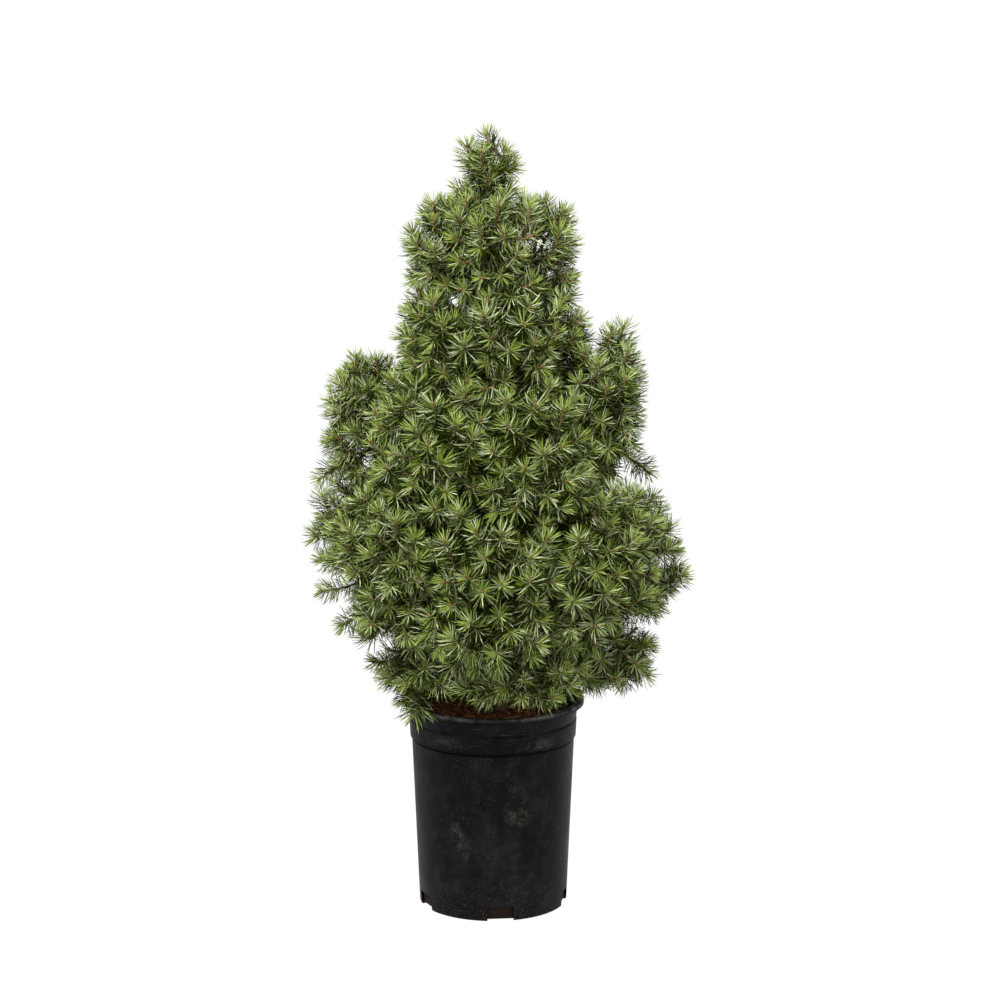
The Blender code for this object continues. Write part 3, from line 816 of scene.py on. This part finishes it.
def needle_kinds(behind, inner, draw):
    """Tints of a twig's needles: by chance, fresh at the tip, shaded inside the crown and far back."""
    chance = draw.uniform(size=len(behind))
    light, green = SPRAY_SHARES[draw.integers(len(SPRAY_SHARES))]
    shaded = draw.uniform(size=len(behind)) < INNER_SHADE
    kind = np.where(chance < light + green, GREEN, DEEP)
    kind[chance < light] = LIGHT
    # Pale waxy needles, whose tint also paints a highlight, go only on twigs near the crown's surface.
    if not inner:
        kind[chance < PALE_HIGHLIGHT_SHARE] = PALE_HIGHLIGHT
    kind[((behind > OLD_LENGTH) | inner) & shaded] = SHADE
    if not inner:
        kind[(behind < FRESH_LENGTH) & (chance > 1 - FRESH_SHARE)] = FRESH
    return kind


def needles_on(twig, kinds, draw):
    """Puts needles on the outer part of a twig, and a tuft at its tip."""
    lines = frames_along(twig.points)
    along = distances_along(lines[0])
    behind = places_behind_tip(twig.bearing, draw)
    count = len(behind)
    start, axis, normal, other = (vectors_at(along[-1] - behind, along, line) for line in lines)
    turn = np.arange(count) * GOLDEN_ANGLE + draw.normal(0, NEEDLE_TURN_CHANGE, count)
    axis /= np.linalg.norm(axis, axis=1, keepdims=True)
    radial = normal * np.cos(turn)[:, None] + other * np.sin(turn)[:, None]
    opened = np.clip(behind / LEAN_GROWS_OVER, 0, 1) ** 0.7
    lean = TIP_LEAN + (LEAN - TIP_LEAN) * opened
    lean += draw.normal(0, LEAN_CHANGE, count) * (0.4 + 0.6 * opened)
    length = TIP_NEEDLE_LENGTH + (NEEDLE_LENGTH - TIP_NEEDLE_LENGTH) * opened
    length *= draw.normal(1, LENGTH_CHANGE, count).clip(*LENGTH_LIMITS)
    length *= draw.normal(1, SPRAY_CHANGE)
    foot = start + radial * TWIG_TIP_RADIUS * NEEDLE_FOOT_OUT
    low_way = turned_to(axis, radial, lean + NEEDLE_CURVE)
    high_way = turned_to(axis, radial, lean - NEEDLE_CURVE)
    kind = needle_kinds(behind, twig.depth > INNER_DEPTH, draw)
    nearness = nearness_to_gaps(foot + low_way * length[:, None] / 2)
    grown = draw.uniform(size=count) < GAP_NEEDLES + (1 - GAP_NEEDLES) * nearness**2
    for index, needles in enumerate(kinds):
        chosen = (kind == index) & (grown | twig.far)
        needles.add(foot[chosen], low_way[chosen], high_way[chosen], length[chosen])


# Corners of a bud: its foot, four round its widest part, and its point.
BUD_SIDES = [(1 + k, 1 + (k + 1) % 4) for k in range(4)]
BUD_TRIANGLES = [(0, after, here) for here, after in BUD_SIDES]
BUD_TRIANGLES += [(5, here, after) for here, after in BUD_SIDES]


def add_buds(batch, twig, turn):
    """A pointed bud at the tip of a twig, and smaller ones that lean out beside it."""
    tip = twig.points[-1]
    axis = (tip - twig.points[-2]).normalized()
    side = axis.orthogonal().normalized()
    across = axis.cross(side)
    ways = [(axis, 1.0)]
    for index in range(SIDE_BUDS):
        angle = turn + math.tau * index / SIDE_BUDS
        spoke = side * math.cos(angle) + across * math.sin(angle)
        ways.append((axis * math.cos(SIDE_BUD_LEAN) + spoke * math.sin(SIDE_BUD_LEAN), SIDE_BUD_SHARE))
    for way, share in ways:
        beside = way.orthogonal().normalized() * BUD_RADIUS * share
        around = way.cross(beside)
        foot = tip - axis * BUD_SUNK
        middle = foot + way * BUD_LENGTH * share * BUD_WIDEST_AT
        point = foot + way * BUD_LENGTH * share
        corners = [foot, middle + beside, middle + around, middle - beside, middle - around, point]
        batch.add([tuple(corner) for corner in corners], BUD_TRIANGLES)


# Materials


def new_material(name, colour, roughness, specular=0.5):
    material = bpy.data.materials.new(name)
    material.use_nodes = True
    shader = material.node_tree.nodes["Principled BSDF"]
    shader.inputs["Base Color"].default_value = (*colour, 1.0)
    shader.inputs["Roughness"].default_value = roughness
    shader.inputs["Specular IOR Level"].default_value = specular
    return material


class Nodes:
    """Short calls for the nodes of one material."""

    def __init__(self, material):
        self.tree = material.node_tree
        self.shader = self.tree.nodes["Principled BSDF"]
        self.place = self.node("TexCoord", {})["Object"]

    def node(self, kind, inputs, **settings):
        """The outputs of a new node. An input is linked where a socket is given for it, or else set."""
        made = self.tree.nodes.new(f"ShaderNode{kind}")
        for name, value in settings.items():
            setattr(made, name, value)
        for name, value in inputs.items():
            target = made.inputs[name]
            if isinstance(value, bpy.types.NodeSocket):
                self.tree.links.new(value, target)
            else:
                target.default_value = (*value, 1.0) if target.type == "RGBA" else value
        return made.outputs

    def shade(self, name, value):
        self.tree.links.new(value, self.shader.inputs[name])

    def scaled(self, scale):
        return self.node("Mapping", {"Vector": self.place, "Scale": scale})["Vector"]

    def noise(self, scale, detail=4.0, roughness=0.5, place=None):
        inputs = {"Vector": place or self.place, "Scale": scale, "Detail": detail, "Roughness": roughness}
        return self.node("TexNoise", inputs)["Fac"]

    def cells(self, scale):
        return self.node("TexVoronoi", {"Vector": self.place, "Scale": scale})["Distance"]

    def height(self):
        return self.node("SeparateXYZ", {"Vector": self.place})["Z"]

    def spot(self, centre, radii):
        """1 in the middle of an ellipsoid round a place, fading to 0 at its surface."""
        away = self.node("VectorMath", {0: self.place, 1: centre}, operation="SUBTRACT")["Vector"]
        away = self.node("VectorMath", {0: away, 1: radii}, operation="DIVIDE")["Vector"]
        away = self.node("VectorMath", {0: away}, operation="LENGTH")["Value"]
        return self.ramp(away, (0.2, 1.0), (1.0, 0.0))

    def ramp(self, value, *stops):
        """A colour or a grey for a value, between stops of (value, colour or grey)."""
        made = self.tree.nodes.new("ShaderNodeValToRGB")
        elements = made.color_ramp.elements
        while len(elements) < len(stops):
            elements.new(0.5)
        for element, (position, colour) in zip(elements, stops):
            element.position = position
            element.color = (*colour, 1.0) if isinstance(colour, tuple) else (colour,) * 3 + (1.0,)
        self.tree.links.new(value, made.inputs["Fac"])
        return made.outputs["Color"]

    def rising(self, value, low, high, least=0.0):
        return self.ramp(value, (low, least), (high, 1.0))

    def mixed(self, factor, first, second):
        return self.node("Mix", {"Factor": factor, "A": first, "B": second}, data_type="RGBA")["Result"]

    def times(self, first, second):
        return self.node("Math", {0: first, 1: second}, operation="MULTIPLY")["Value"]

    def bump(self, height, strength, distance):
        inputs = {"Height": height, "Strength": strength, "Distance": distance}
        self.shade("Normal", self.node("Bump", inputs)["Normal"])


def bark_material():
    """Scaly brown bark with paler plates and dark cracks."""
    material = new_material("bark", (0.12, 0.07, 0.04), 0.9, specular=0.15)
    nodes = Nodes(material)
    stretched = nodes.scaled((1.0, 1.0, 0.45))
    mottle = nodes.noise(140, 6, 0.6, stretched)
    tints = ((0.3, (0.05, 0.026, 0.014)), (0.55, (0.14, 0.075, 0.042)), (0.75, (0.26, 0.18, 0.125)))
    nodes.shade("Base Color", nodes.ramp(mottle, *tints))
    nodes.bump(nodes.noise(900, 4, 0.6, stretched), 0.5, 0.0006)
    return material


def twig_material():
    """Young twigs, orange-brown high in the crown and greener below."""
    material = new_material("twig", (0.26, 0.18, 0.09), 0.8, specular=0.1)
    nodes = Nodes(material)
    mottle = nodes.noise(260, 3)
    high = nodes.ramp(mottle, (0.3, (0.170, 0.098, 0.042)), (0.7, (0.365, 0.225, 0.108)))
    low = nodes.ramp(mottle, (0.3, (0.115, 0.085, 0.026)), (0.7, (0.240, 0.180, 0.062)))
    nodes.shade("Base Color", nodes.mixed(nodes.rising(nodes.height(), 0.42, 0.62), low, high))
    nodes.bump(nodes.noise(1500, 2), 0.4, 0.0003)
    return material


def plastic_material():
    """Black moulded plastic: soft clouds of dust, scuffed bands, specks, scratches and a mossy smudge, a
    lip lighter from wear and a painted highlight, and painted shade in the grooves under the lip and bands.
    """
    material = new_material("pot_plastic", (0.004, 0.004, 0.004), 0.5, specular=0.05)
    nodes = Nodes(material)
    times, rising, height = nodes.times, nodes.rising, nodes.height()
    warp = nodes.noise(60, 3)
    clouds = nodes.noise(22, 6, 0.65)
    fine = nodes.noise(620, 3, 0.7)
    blotches = nodes.noise(90, 5, 0.7)
    dust = times(rising(clouds, 0.42, 0.70), rising(blotches, 0.35, 0.65, least=0.2))
    colour = nodes.mixed(dust, (0.0030, 0.0030, 0.0031), (0.0150, 0.0150, 0.0144))
    speckle = times(rising(fine, 0.58, 0.72), rising(blotches, 0.42, 0.62))
    colour = nodes.mixed(speckle, colour, (0.030, 0.030, 0.028))
    scratches = nodes.noise(1.0, 5, 0.65, nodes.scaled((40.0, 40.0, 700.0)))
    rubbed = times(rising(scratches, 0.56, 0.74), rising(height, LOWER_BAND_FOOT, LOWER_BAND_FOOT + 0.003))
    rubbed = times(rubbed, rising(nodes.noise(34, 3), 0.46, 0.62))
    colour = nodes.mixed(rubbed, colour, (0.055, 0.054, 0.051))
    for centre, radii, tint in POT_SMUDGES:
        patch = times(nodes.spot(centre, radii), rising(warp, 0.44, 0.60))
        patch = times(patch, rising(fine, 0.42, 0.66, least=0.1))
        colour = nodes.mixed(times(patch, 0.8), colour, tint)
    grit = nodes.ramp(nodes.cells(620), (0.08, 1.0), (0.17, 0.0))
    specks = times(grit, rising(nodes.noise(80, 2), 0.54, 0.62))
    colour = nodes.mixed(specks, colour, (0.110, 0.108, 0.095))
    grime = times(nodes.ramp(height, (0.0, 1.0), (0.035, 0.0)), rising(fine, 0.56, 0.68))
    colour = nodes.mixed(grime, colour, (0.045, 0.041, 0.033))
    lip_foot = POT_HEIGHT - LIP_HEIGHT
    # Painted highlight, partly wear: the rolled lip is lighter in blotches above its foot.
    worn_lip_and_highlight = times(rising(height, lip_foot, lip_foot + 0.0015), rising(blotches, 0.36, 0.60, least=0.25))
    colour = nodes.mixed(worn_lip_and_highlight, colour, (0.045, 0.045, 0.043))
    # Painted highlight, partly wear: a lighter line along the top edge of the lip.
    edge = rising(height, POT_HEIGHT - 0.0016, POT_HEIGHT - 0.0006)
    edge = times(edge, rising(nodes.noise(48, 4, 0.7), 0.46, 0.58))
    colour = nodes.mixed(edge, colour, (0.130, 0.130, 0.124))
    # Painted shade: near-black bands under the lip and under each band's step, where the grooves lie in
    # shade.
    for middle in (lip_foot - 0.0005, BAND_FOOT, LOWER_BAND_FOOT):
        low, high = middle - 0.0022, middle + 0.0006
        groove = nodes.ramp(height, (low - 0.0005, 1.0), (low, 0.05), (high, 0.05), (high + 0.0005, 1.0))
        colour = nodes.mixed(groove, (0.0004, 0.0004, 0.0004), colour)
    nodes.shade("Base Color", colour)
    nodes.shade("Roughness", nodes.ramp(clouds, (0.3, 0.34), (0.75, 0.60)))
    nodes.bump(nodes.noise(420, 4, 0.6), 0.5, 0.0006)
    return material


def mix_material():
    """Dark red-brown potting mix."""
    material = new_material("mix", (0.05, 0.028, 0.016), 0.95, specular=0.2)
    nodes = Nodes(material)
    crumbs = nodes.noise(330, 6, 0.7)
    tints = ((0.3, (0.070, 0.022, 0.009)), (0.50, (0.300, 0.095, 0.035)), (0.68, (0.55, 0.22, 0.10)))
    # Below its top the mix turns near black, darker towards the bottom of the pot.
    dark_below_top = nodes.ramp(nodes.height(), (SOIL_EDGE - 0.02, 1.0), (SOIL_EDGE - 0.006, 0.0))
    dark_below_top = nodes.times(dark_below_top, 0.985)
    nodes.shade("Base Color", nodes.mixed(dark_below_top, nodes.ramp(crumbs, *tints), (0.010, 0.005, 0.003)))
    nodes.bump(crumbs, 1.0, 0.002)
    return material


def chip_material(name, dark, pale):
    material = new_material(name, dark, 0.9, specular=0.25)
    nodes = Nodes(material)
    nodes.shade("Base Color", nodes.ramp(nodes.noise(500, 4), (0.3, dark), (0.7, pale)))
    nodes.bump(nodes.noise(1300, 3), 0.6, 0.0006)
    return material


def floor_material():
    """An even white sweep that lights itself, as in a product studio."""
    material = new_material("studio_floor", (0.04, 0.04, 0.04), 0.9, specular=0.0)
    shader = material.node_tree.nodes["Principled BSDF"]
    shader.inputs["Emission Color"].default_value = (1.0, 1.0, 1.0, 1.0)
    shader.inputs["Emission Strength"].default_value = 1.0
    return material


# The tints of the needles: the newest, three greens, pale waxy ones whose tint is partly a painted
# highlight, and old or hidden needles.
NEEDLE_TINTS = (
    ("needle_fresh", (0.240, 0.325, 0.050), 0.14),
    ("needle_light", (0.268, 0.335, 0.100), 0.14),
    ("needle_green", (0.114, 0.165, 0.013), 0.10),
    ("needle_deep", (0.013, 0.023, 0.0005), 0.05),
    ("needle_pale_highlight", (0.500, 0.555, 0.330), 0.22),
    ("needle_shade", (0.038, 0.060, 0.001), 0.06),
)
FRESH, LIGHT, GREEN, DEEP, PALE_HIGHLIGHT, SHADE = range(len(NEEDLE_TINTS))


# The foliage and the limbs


def bark_relief(place, _turn):
    """Height of the bark's plates over its cracks at a place."""
    spot = Vector((place.x, place.y, place.z * 0.5)) / PLATE_SIZE
    near, next_near = noise.voronoi(spot)[0][:2]
    plate = min(1.0, (next_near - near) * 2.2)
    return PLATE_RELIEF * (plate - 0.6) + PLATE_RELIEF * 0.6 * noise.noise(spot * 0.5)


def bough_relief(place, turn):
    return bark_relief(place, turn) * BOUGH_RELIEF_SHARE


def trunk_relief(place, turn):
    share = max(0.0, 1 - (place.z - TRUNK_FOOT) / FLARE_HEIGHT)
    roots = FLARE_LOBE_DEPTH * share * share * math.sin(FLARE_LOBES * turn + 0.8)
    return bark_relief(place, turn) + roots


def build_limbs(masses, material):
    """The trunk and every bough with its bark's relief, as one piece."""
    batch = Batch()
    heights = np.linspace(TRUNK_FOOT, TRUNK_TOP, TRUNK_RINGS)
    line = [trunk_point(height) for height in heights]
    add_tube(batch, line, [trunk_radius(height) for height in heights], TRUNK_SIDES, trunk_relief)
    replaced = ["trunk"]
    for mass in masses:
        if mass.name != "leader":
            line, radii = finer(mass.bough, mass.bough_radii, BOUGH_RING_STEP)
            add_tube(batch, line, radii, BOUGH_SIDES, bough_relief)
            replaced.append(f"bough_{mass.name}")
    limbs = batch.made("limbs_with_bark", material)
    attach(limbs, BODY)
    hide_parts(*replaced)


def build_foliage(masses, bark, twig_look):
    """The stems, the twigs with their buds, and the needles, one or more pieces of each tint."""
    kinds = [Needles() for _ in NEEDLE_TINTS]
    stems, old, young, buds = Batch(), Batch(), Batch(), Batch()
    draw = np.random.default_rng(SEED)
    for mass in masses:
        end_radii = (mass.bough_radii[-1], STEM_TIP_RADIUS)
        add_tube(stems, *finer(mass.stem, end_radii, STEM_RING_STEP), STEM_SIDES)
    for twig in grow_twigs(masses):
        radii = np.linspace(twig.root_radius, TWIG_TIP_RADIUS, len(twig.points))
        first = max(1, len(twig.points) - 1 - round(YOUNG_LENGTH / TWIG_STEP))
        add_tube(old, twig.points[: first + 1], radii[: first + 1], OLD_TWIG_SIDES)
        add_tube(young, twig.points[first:], radii[first:], YOUNG_TWIG_SIDES)
        add_buds(buds, twig, draw.uniform(0, math.tau))
        needles_on(twig, kinds, draw)
    bud_look = new_material("bud", (0.215, 0.128, 0.058), 0.8, specular=0.1)
    pieces = [
        stems.made("stems", bark),
        old.made("old_twigs", bark),
        young.made("young_twigs", twig_look),
        buds.made("buds", bud_look),
    ]
    for needles, (kind, tint, shine) in zip(kinds, NEEDLE_TINTS):
        look = new_material(kind, tint, 0.42, specular=shine)
        for piece in needles.pieces(kind, look):
            pieces.append(piece)
    for piece in pieces:
        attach(piece, BODY)
        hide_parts(*(mass.name for mass in masses))


# The pot and the mix


def lathe(name, profile, steps, material, wobble=None):
    """A closed solid turned about Z from a profile of (radius, height) between two points on the axis."""
    turns = np.arange(steps) * math.tau / steps
    rings = []
    for radius, height in profile[1:-1]:
        ring = np.stack([np.cos(turns) * radius, np.sin(turns) * radius, np.full(steps, height)], axis=1)
        rings.append(ring)
    points = np.concatenate([*rings, [(0, 0, profile[0][1])], [(0, 0, profile[-1][1])]])
    if wobble:
        points = np.array([wobble(*point) for point in points])
    triangles = ring_triangles(len(rings), steps)
    return mesh_object(name, points, triangles, material)


def rounded(corners, steps=4):
    """A profile whose corners, given with a radius, are cut by small arcs."""
    made = []
    for index, (radius, height, fillet) in enumerate(corners):
        here = Vector((radius, height))
        if fillet == 0 or index in (0, len(corners) - 1):
            made.append(tuple(here))
            continue
        before = (Vector(corners[index - 1][:2]) - here).normalized() * fillet
        after = (Vector(corners[index + 1][:2]) - here).normalized() * fillet
        start, end = here + before, here + after
        for step in range(steps + 1):
            t = step / steps
            made.append(tuple(start.lerp(here, t).lerp(here.lerp(end, t), t)))
    return made


def band_step(radius, height, lower_radius):
    """Corners where a band ends, over an undercut groove, and the wall goes on below it."""
    return (
        (radius, height, 0.0007),
        (lower_radius - GROOVE_DEPTH, height + 0.0006, 0.0003),
        (lower_radius - GROOVE_DEPTH, height - STEP_DEPTH, 0.0003),
        (lower_radius, height - STEP_DEPTH - 0.0008, 0.0005),
    )


def pot_profile():
    """From the middle of the floor up the inside, over the rolled lip and down the outside."""
    lip_foot = POT_HEIGHT - LIP_HEIGHT
    body_inside = BODY_TOP_RADIUS - POT_WALL
    return rounded(
        [
            (0.0, POT_FLOOR, 0.0),
            (BODY_FOOT_RADIUS - POT_WALL, POT_FLOOR, 0.001),
            (body_inside, LOWER_BAND_FOOT, 0.0006),
            (LOWER_BAND_RADIUS - POT_WALL, BAND_FOOT, 0.0006),
            (BAND_RADIUS - POT_WALL, lip_foot, 0.0006),
            (BAND_RADIUS - POT_WALL + 0.0008, POT_HEIGHT, 0.0012),
            (RIM_RADIUS, POT_HEIGHT, 0.0016),
            (RIM_RADIUS, lip_foot, 0.0008),
            (RIM_RADIUS - 0.0012, lip_foot, 0.0003),
            (RIM_RADIUS - 0.0012, POT_HEIGHT - 0.0022, 0.0004),
            (BAND_RADIUS, POT_HEIGHT - 0.0022, 0.0008),
            *band_step(BAND_RADIUS - 0.002, BAND_FOOT, LOWER_BAND_RADIUS),
            *band_step(LOWER_BAND_RADIUS - 0.0008, LOWER_BAND_FOOT, BODY_TOP_RADIUS),
            (BODY_FOOT_RADIUS, FOOT_CHAMFER, 0.0008),
            (BODY_FOOT_RADIUS - FOOT_CHAMFER, 0.0, 0.0006),
            (0.0, 0.0, 0.0),
        ]
    )


def notch_cutter(index):
    """A box with rounded edges through the wall and the edge of the floor."""
    azimuth = FIRST_NOTCH + math.tau * index / NOTCH_COUNT
    inner = BODY_FOOT_RADIUS - NOTCH_DEPTH
    outer = BODY_FOOT_RADIUS + 0.006
    bm = bmesh.new()
    bmesh.ops.create_cube(bm, size=1.0)
    size = Matrix.Diagonal((outer - inner, NOTCH_WIDTH, NOTCH_HEIGHT + NOTCH_PAST, 1.0))
    bmesh.ops.transform(bm, matrix=size, verts=bm.verts)
    upper = [edge for edge in bm.edges if all(vert.co.z > 0 for vert in edge.verts)]
    along = [edge for edge in upper if abs(edge.verts[0].co.y - edge.verts[1].co.y) < 1e-6]
    bmesh.ops.bevel(bm, geom=along, offset=NOTCH_ROUND, segments=5, profile=0.5, affect="EDGES")
    middle = outward_at(azimuth) * (inner + outer) / 2 + UP * (NOTCH_HEIGHT - NOTCH_PAST) / 2
    place = Matrix.Translation(middle) @ Matrix.Rotation(azimuth, 4, "Z")
    bmesh.ops.transform(bm, matrix=place, verts=bm.verts)
    return bmesh_object(f"notch_{index + 1}", bm)


def build_pot(material):
    """The pot, turned and with its notches cut out."""
    pot = lathe("nursery_pot", pot_profile(), POT_STEPS, material)
    cutters = [notch_cutter(index) for index in range(NOTCH_COUNT)]
    for cutter in cutters:
        cut = pot.modifiers.new(cutter.name, "BOOLEAN")
        cut.operation = "DIFFERENCE"
        cut.object = cutter
    bpy.context.view_layer.update()
    graph = bpy.context.evaluated_depsgraph_get()
    mesh = bpy.data.meshes.new_from_object(pot.evaluated_get(graph))
    pot.modifiers.clear()
    pot.data = mesh
    for cutter in cutters:
        bpy.data.objects.remove(cutter)
    mesh.shade_smooth()
    mesh.set_sharp_from_angle(angle=SHARP_ANGLE)
    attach(pot, BODY)
    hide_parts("pot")


def soil_height(x, y):
    """Height of the mix: a little lower at the wall, and crumbly."""
    radius = math.hypot(x, y) / SOIL_RADIUS
    smooth = SOIL_TOP - (SOIL_TOP - SOIL_EDGE) * radius**3
    spot = Vector((x, y, 0.0))
    crumbs = noise.noise(spot * 90) + 0.6 * noise.noise(spot * 260)
    return smooth + SOIL_ROUGH * crumbs - SOIL_ROUGH * 0.8


def build_soil(material):
    """The mix: a crumbly top, and sides that show in the pot's notches."""
    radii = np.linspace(0.0, SOIL_RADIUS, SOIL_RINGS)
    clear = POT_WALL + GAP * 2
    profile = [(radius, SOIL_TOP) for radius in radii]
    profile += [
        (BODY_TOP_RADIUS - clear, LOWER_BAND_FOOT - 0.001),
        (BODY_FOOT_RADIUS - clear, POT_FLOOR + 0.012),
        (BODY_FOOT_RADIUS - clear - 0.0005, POT_FLOOR + GAP),
        (0.0, POT_FLOOR + GAP),
    ]

    def crumbly(x, y, z):
        return (x, y, soil_height(x, y)) if z > LOWER_BAND_FOOT else (x, y, z)

    soil = lathe("mix_surface", profile, SOIL_STEPS, material, crumbly)
    soil.data.flip_normals()
    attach(soil, BODY)
    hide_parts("soil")


def spots_on_soil(count, draw):
    """Places on the mix, clear of the trunk's foot and of the wall."""
    inner = TRUNK_RADIUS + FLARE_RADIUS + 0.003
    outer = SOIL_RADIUS - 0.005
    for _ in range(count):
        radius = math.sqrt(draw.uniform(inner**2, outer**2))
        turn = draw.uniform(0, math.tau)
        x, y = radius * math.cos(turn), radius * math.sin(turn)
        yield Vector((x, y, soil_height(x, y)))


def build_chips(looks):
    """Chips of bark on the mix."""
    draw = random.Random(SEED)
    batches = [Batch() for _ in looks]
    for place in spots_on_soil(CHIPS, draw):
        length = draw.uniform(*CHIP_LENGTHS)
        width = length * draw.uniform(*CHIP_WIDTH_SHARES)
        size = Vector((length, width, length * draw.uniform(*CHIP_HEIGHT_SHARES))) / 2
        bm = bmesh.new()
        bmesh.ops.create_icosphere(bm, subdivisions=1, radius=1.0)
        for vert in bm.verts:
            vert.co *= draw.uniform(*CHIP_CORNERS)
        turn = Matrix.Rotation(draw.uniform(0, math.tau), 4, "Z")
        tilt = Matrix.Rotation(draw.gauss(0, 0.3), 4, "X")
        lift = Matrix.Translation(place + UP * size.z * 0.4)
        matrix = lift @ turn @ tilt @ Matrix.Diagonal((*size, 1.0))
        bmesh.ops.transform(bm, matrix=matrix, verts=bm.verts)
        points = [tuple(vert.co) for vert in bm.verts]
        triangles = [tuple(vert.index for vert in face.verts) for face in bm.faces]
        batches[draw.randrange(len(batches))].add(points, triangles)
        bm.free()
    pairs = enumerate(zip(batches, looks), start=1)
    return [batch.made(f"bark_chips_{number}", look, smooth=False) for number, (batch, look) in pairs]


def build_fallen(looks):
    """Dead needles on the mix."""
    draw = random.Random(SEED + 1)
    kinds = [Needles() for _ in looks]
    for place in spots_on_soil(FALLEN_NEEDLES, draw):
        way = Vector((draw.uniform(-1, 1), draw.uniform(-1, 1), draw.uniform(-0.08, 0.25))).normalized()
        bent = (way + UP * draw.uniform(-0.2, 0.05)).normalized()
        length = draw.uniform(*FALLEN_LENGTHS)
        foot = place + UP * FALLEN_ABOVE - way * length / 2
        rows = [np.array([tuple(item)]) for item in (foot, way, bent)]
        kinds[draw.randrange(len(kinds))].add(*rows, np.array([length]))
    pieces = []
    for number, (kind, look) in enumerate(zip(kinds, looks), start=1):
        pieces.extend(kind.pieces(f"fallen_needles_{number}", look))
    return pieces


# The studio


def area_light(name, place, size, power):
    light = bpy.data.lights.new(name, "AREA")
    light.shape = "DISK"
    light.size = size
    light.energy = power
    made = new_object(name, light)
    made.location = place
    made.rotation_euler = (Vector(LIGHTS_AIM) - Vector(place)).to_track_quat("-Z", "Y").to_euler()


def white_surround():
    """A backdrop that shows white, and lights the plant softly at the strength of AMBIENT_LIGHT."""
    world = bpy.data.worlds.new("studio")
    world.use_nodes = True
    background = world.node_tree.nodes["Background"]
    background.inputs["Color"].default_value = (1.0, 1.0, 1.0, 1.0)
    path = world.node_tree.nodes.new("ShaderNodeLightPath")
    strength = world.node_tree.nodes.new("ShaderNodeMath")
    strength.operation = "MULTIPLY_ADD"
    world.node_tree.links.new(path.outputs["Is Camera Ray"], strength.inputs[0])
    strength.inputs[1].default_value = 1.0 - AMBIENT_LIGHT
    strength.inputs[2].default_value = AMBIENT_LIGHT
    world.node_tree.links.new(strength.outputs["Value"], background.inputs["Strength"])
    return world


def build_studio():
    """The surround, three lamps, the floor and the camera."""
    scene = bpy.context.scene
    scene.view_settings.view_transform = "Standard"
    scene.world = white_surround()
    area_light("key", (-0.7, -1.5, 2.3), 0.5, 86)
    area_light("fill", (1.8, -1.6, 1.1), 1.2, 14)
    area_light("back", (0.4, 2.0, 2.2), 1.5, 16)

    bm = bmesh.new()
    bmesh.ops.create_circle(bm, cap_ends=True, segments=96, radius=FLOOR_RADIUS)
    floor = bmesh_object("floor", bm)
    floor.data.materials.append(floor_material())
    floor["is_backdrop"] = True

    camera = bpy.data.cameras.new("camera")
    camera.lens = CAMERA_LENS
    camera.sensor_width = SENSOR_WIDTH
    scene.camera = new_object("camera", camera)
    scene.camera.location = CAMERA_PLACE
    scene.camera.rotation_euler = (math.radians(90) + CAMERA_PITCH, 0.0, 0.0)


def main():
    masses = all_masses()
    bark = bark_material()
    build_studio()
    build_limbs(masses, bark)
    build_foliage(masses, bark, twig_material())
    build_pot(plastic_material())
    build_soil(mix_material())
    chip_looks = [
        chip_material("chip_dark", (0.070, 0.024, 0.011), (0.210, 0.075, 0.033)),
        chip_material("chip_red", (0.280, 0.075, 0.026), (0.520, 0.180, 0.070)),
        chip_material("chip_pale", (0.280, 0.140, 0.070), (0.500, 0.280, 0.150)),
    ]
    fallen_looks = [
        chip_material("fallen_red", (0.30, 0.060, 0.018), (0.50, 0.140, 0.04)),
        chip_material("fallen_straw", (0.26, 0.16, 0.07), (0.42, 0.28, 0.13)),
    ]
    for piece in build_chips(chip_looks) + build_fallen(fallen_looks):
        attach(piece, BODY)
    boxes = {"cad": CAD_BOX, "visual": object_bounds()}
    {name: [list(corner) for corner in box] for name, box in boxes.items()}


main()
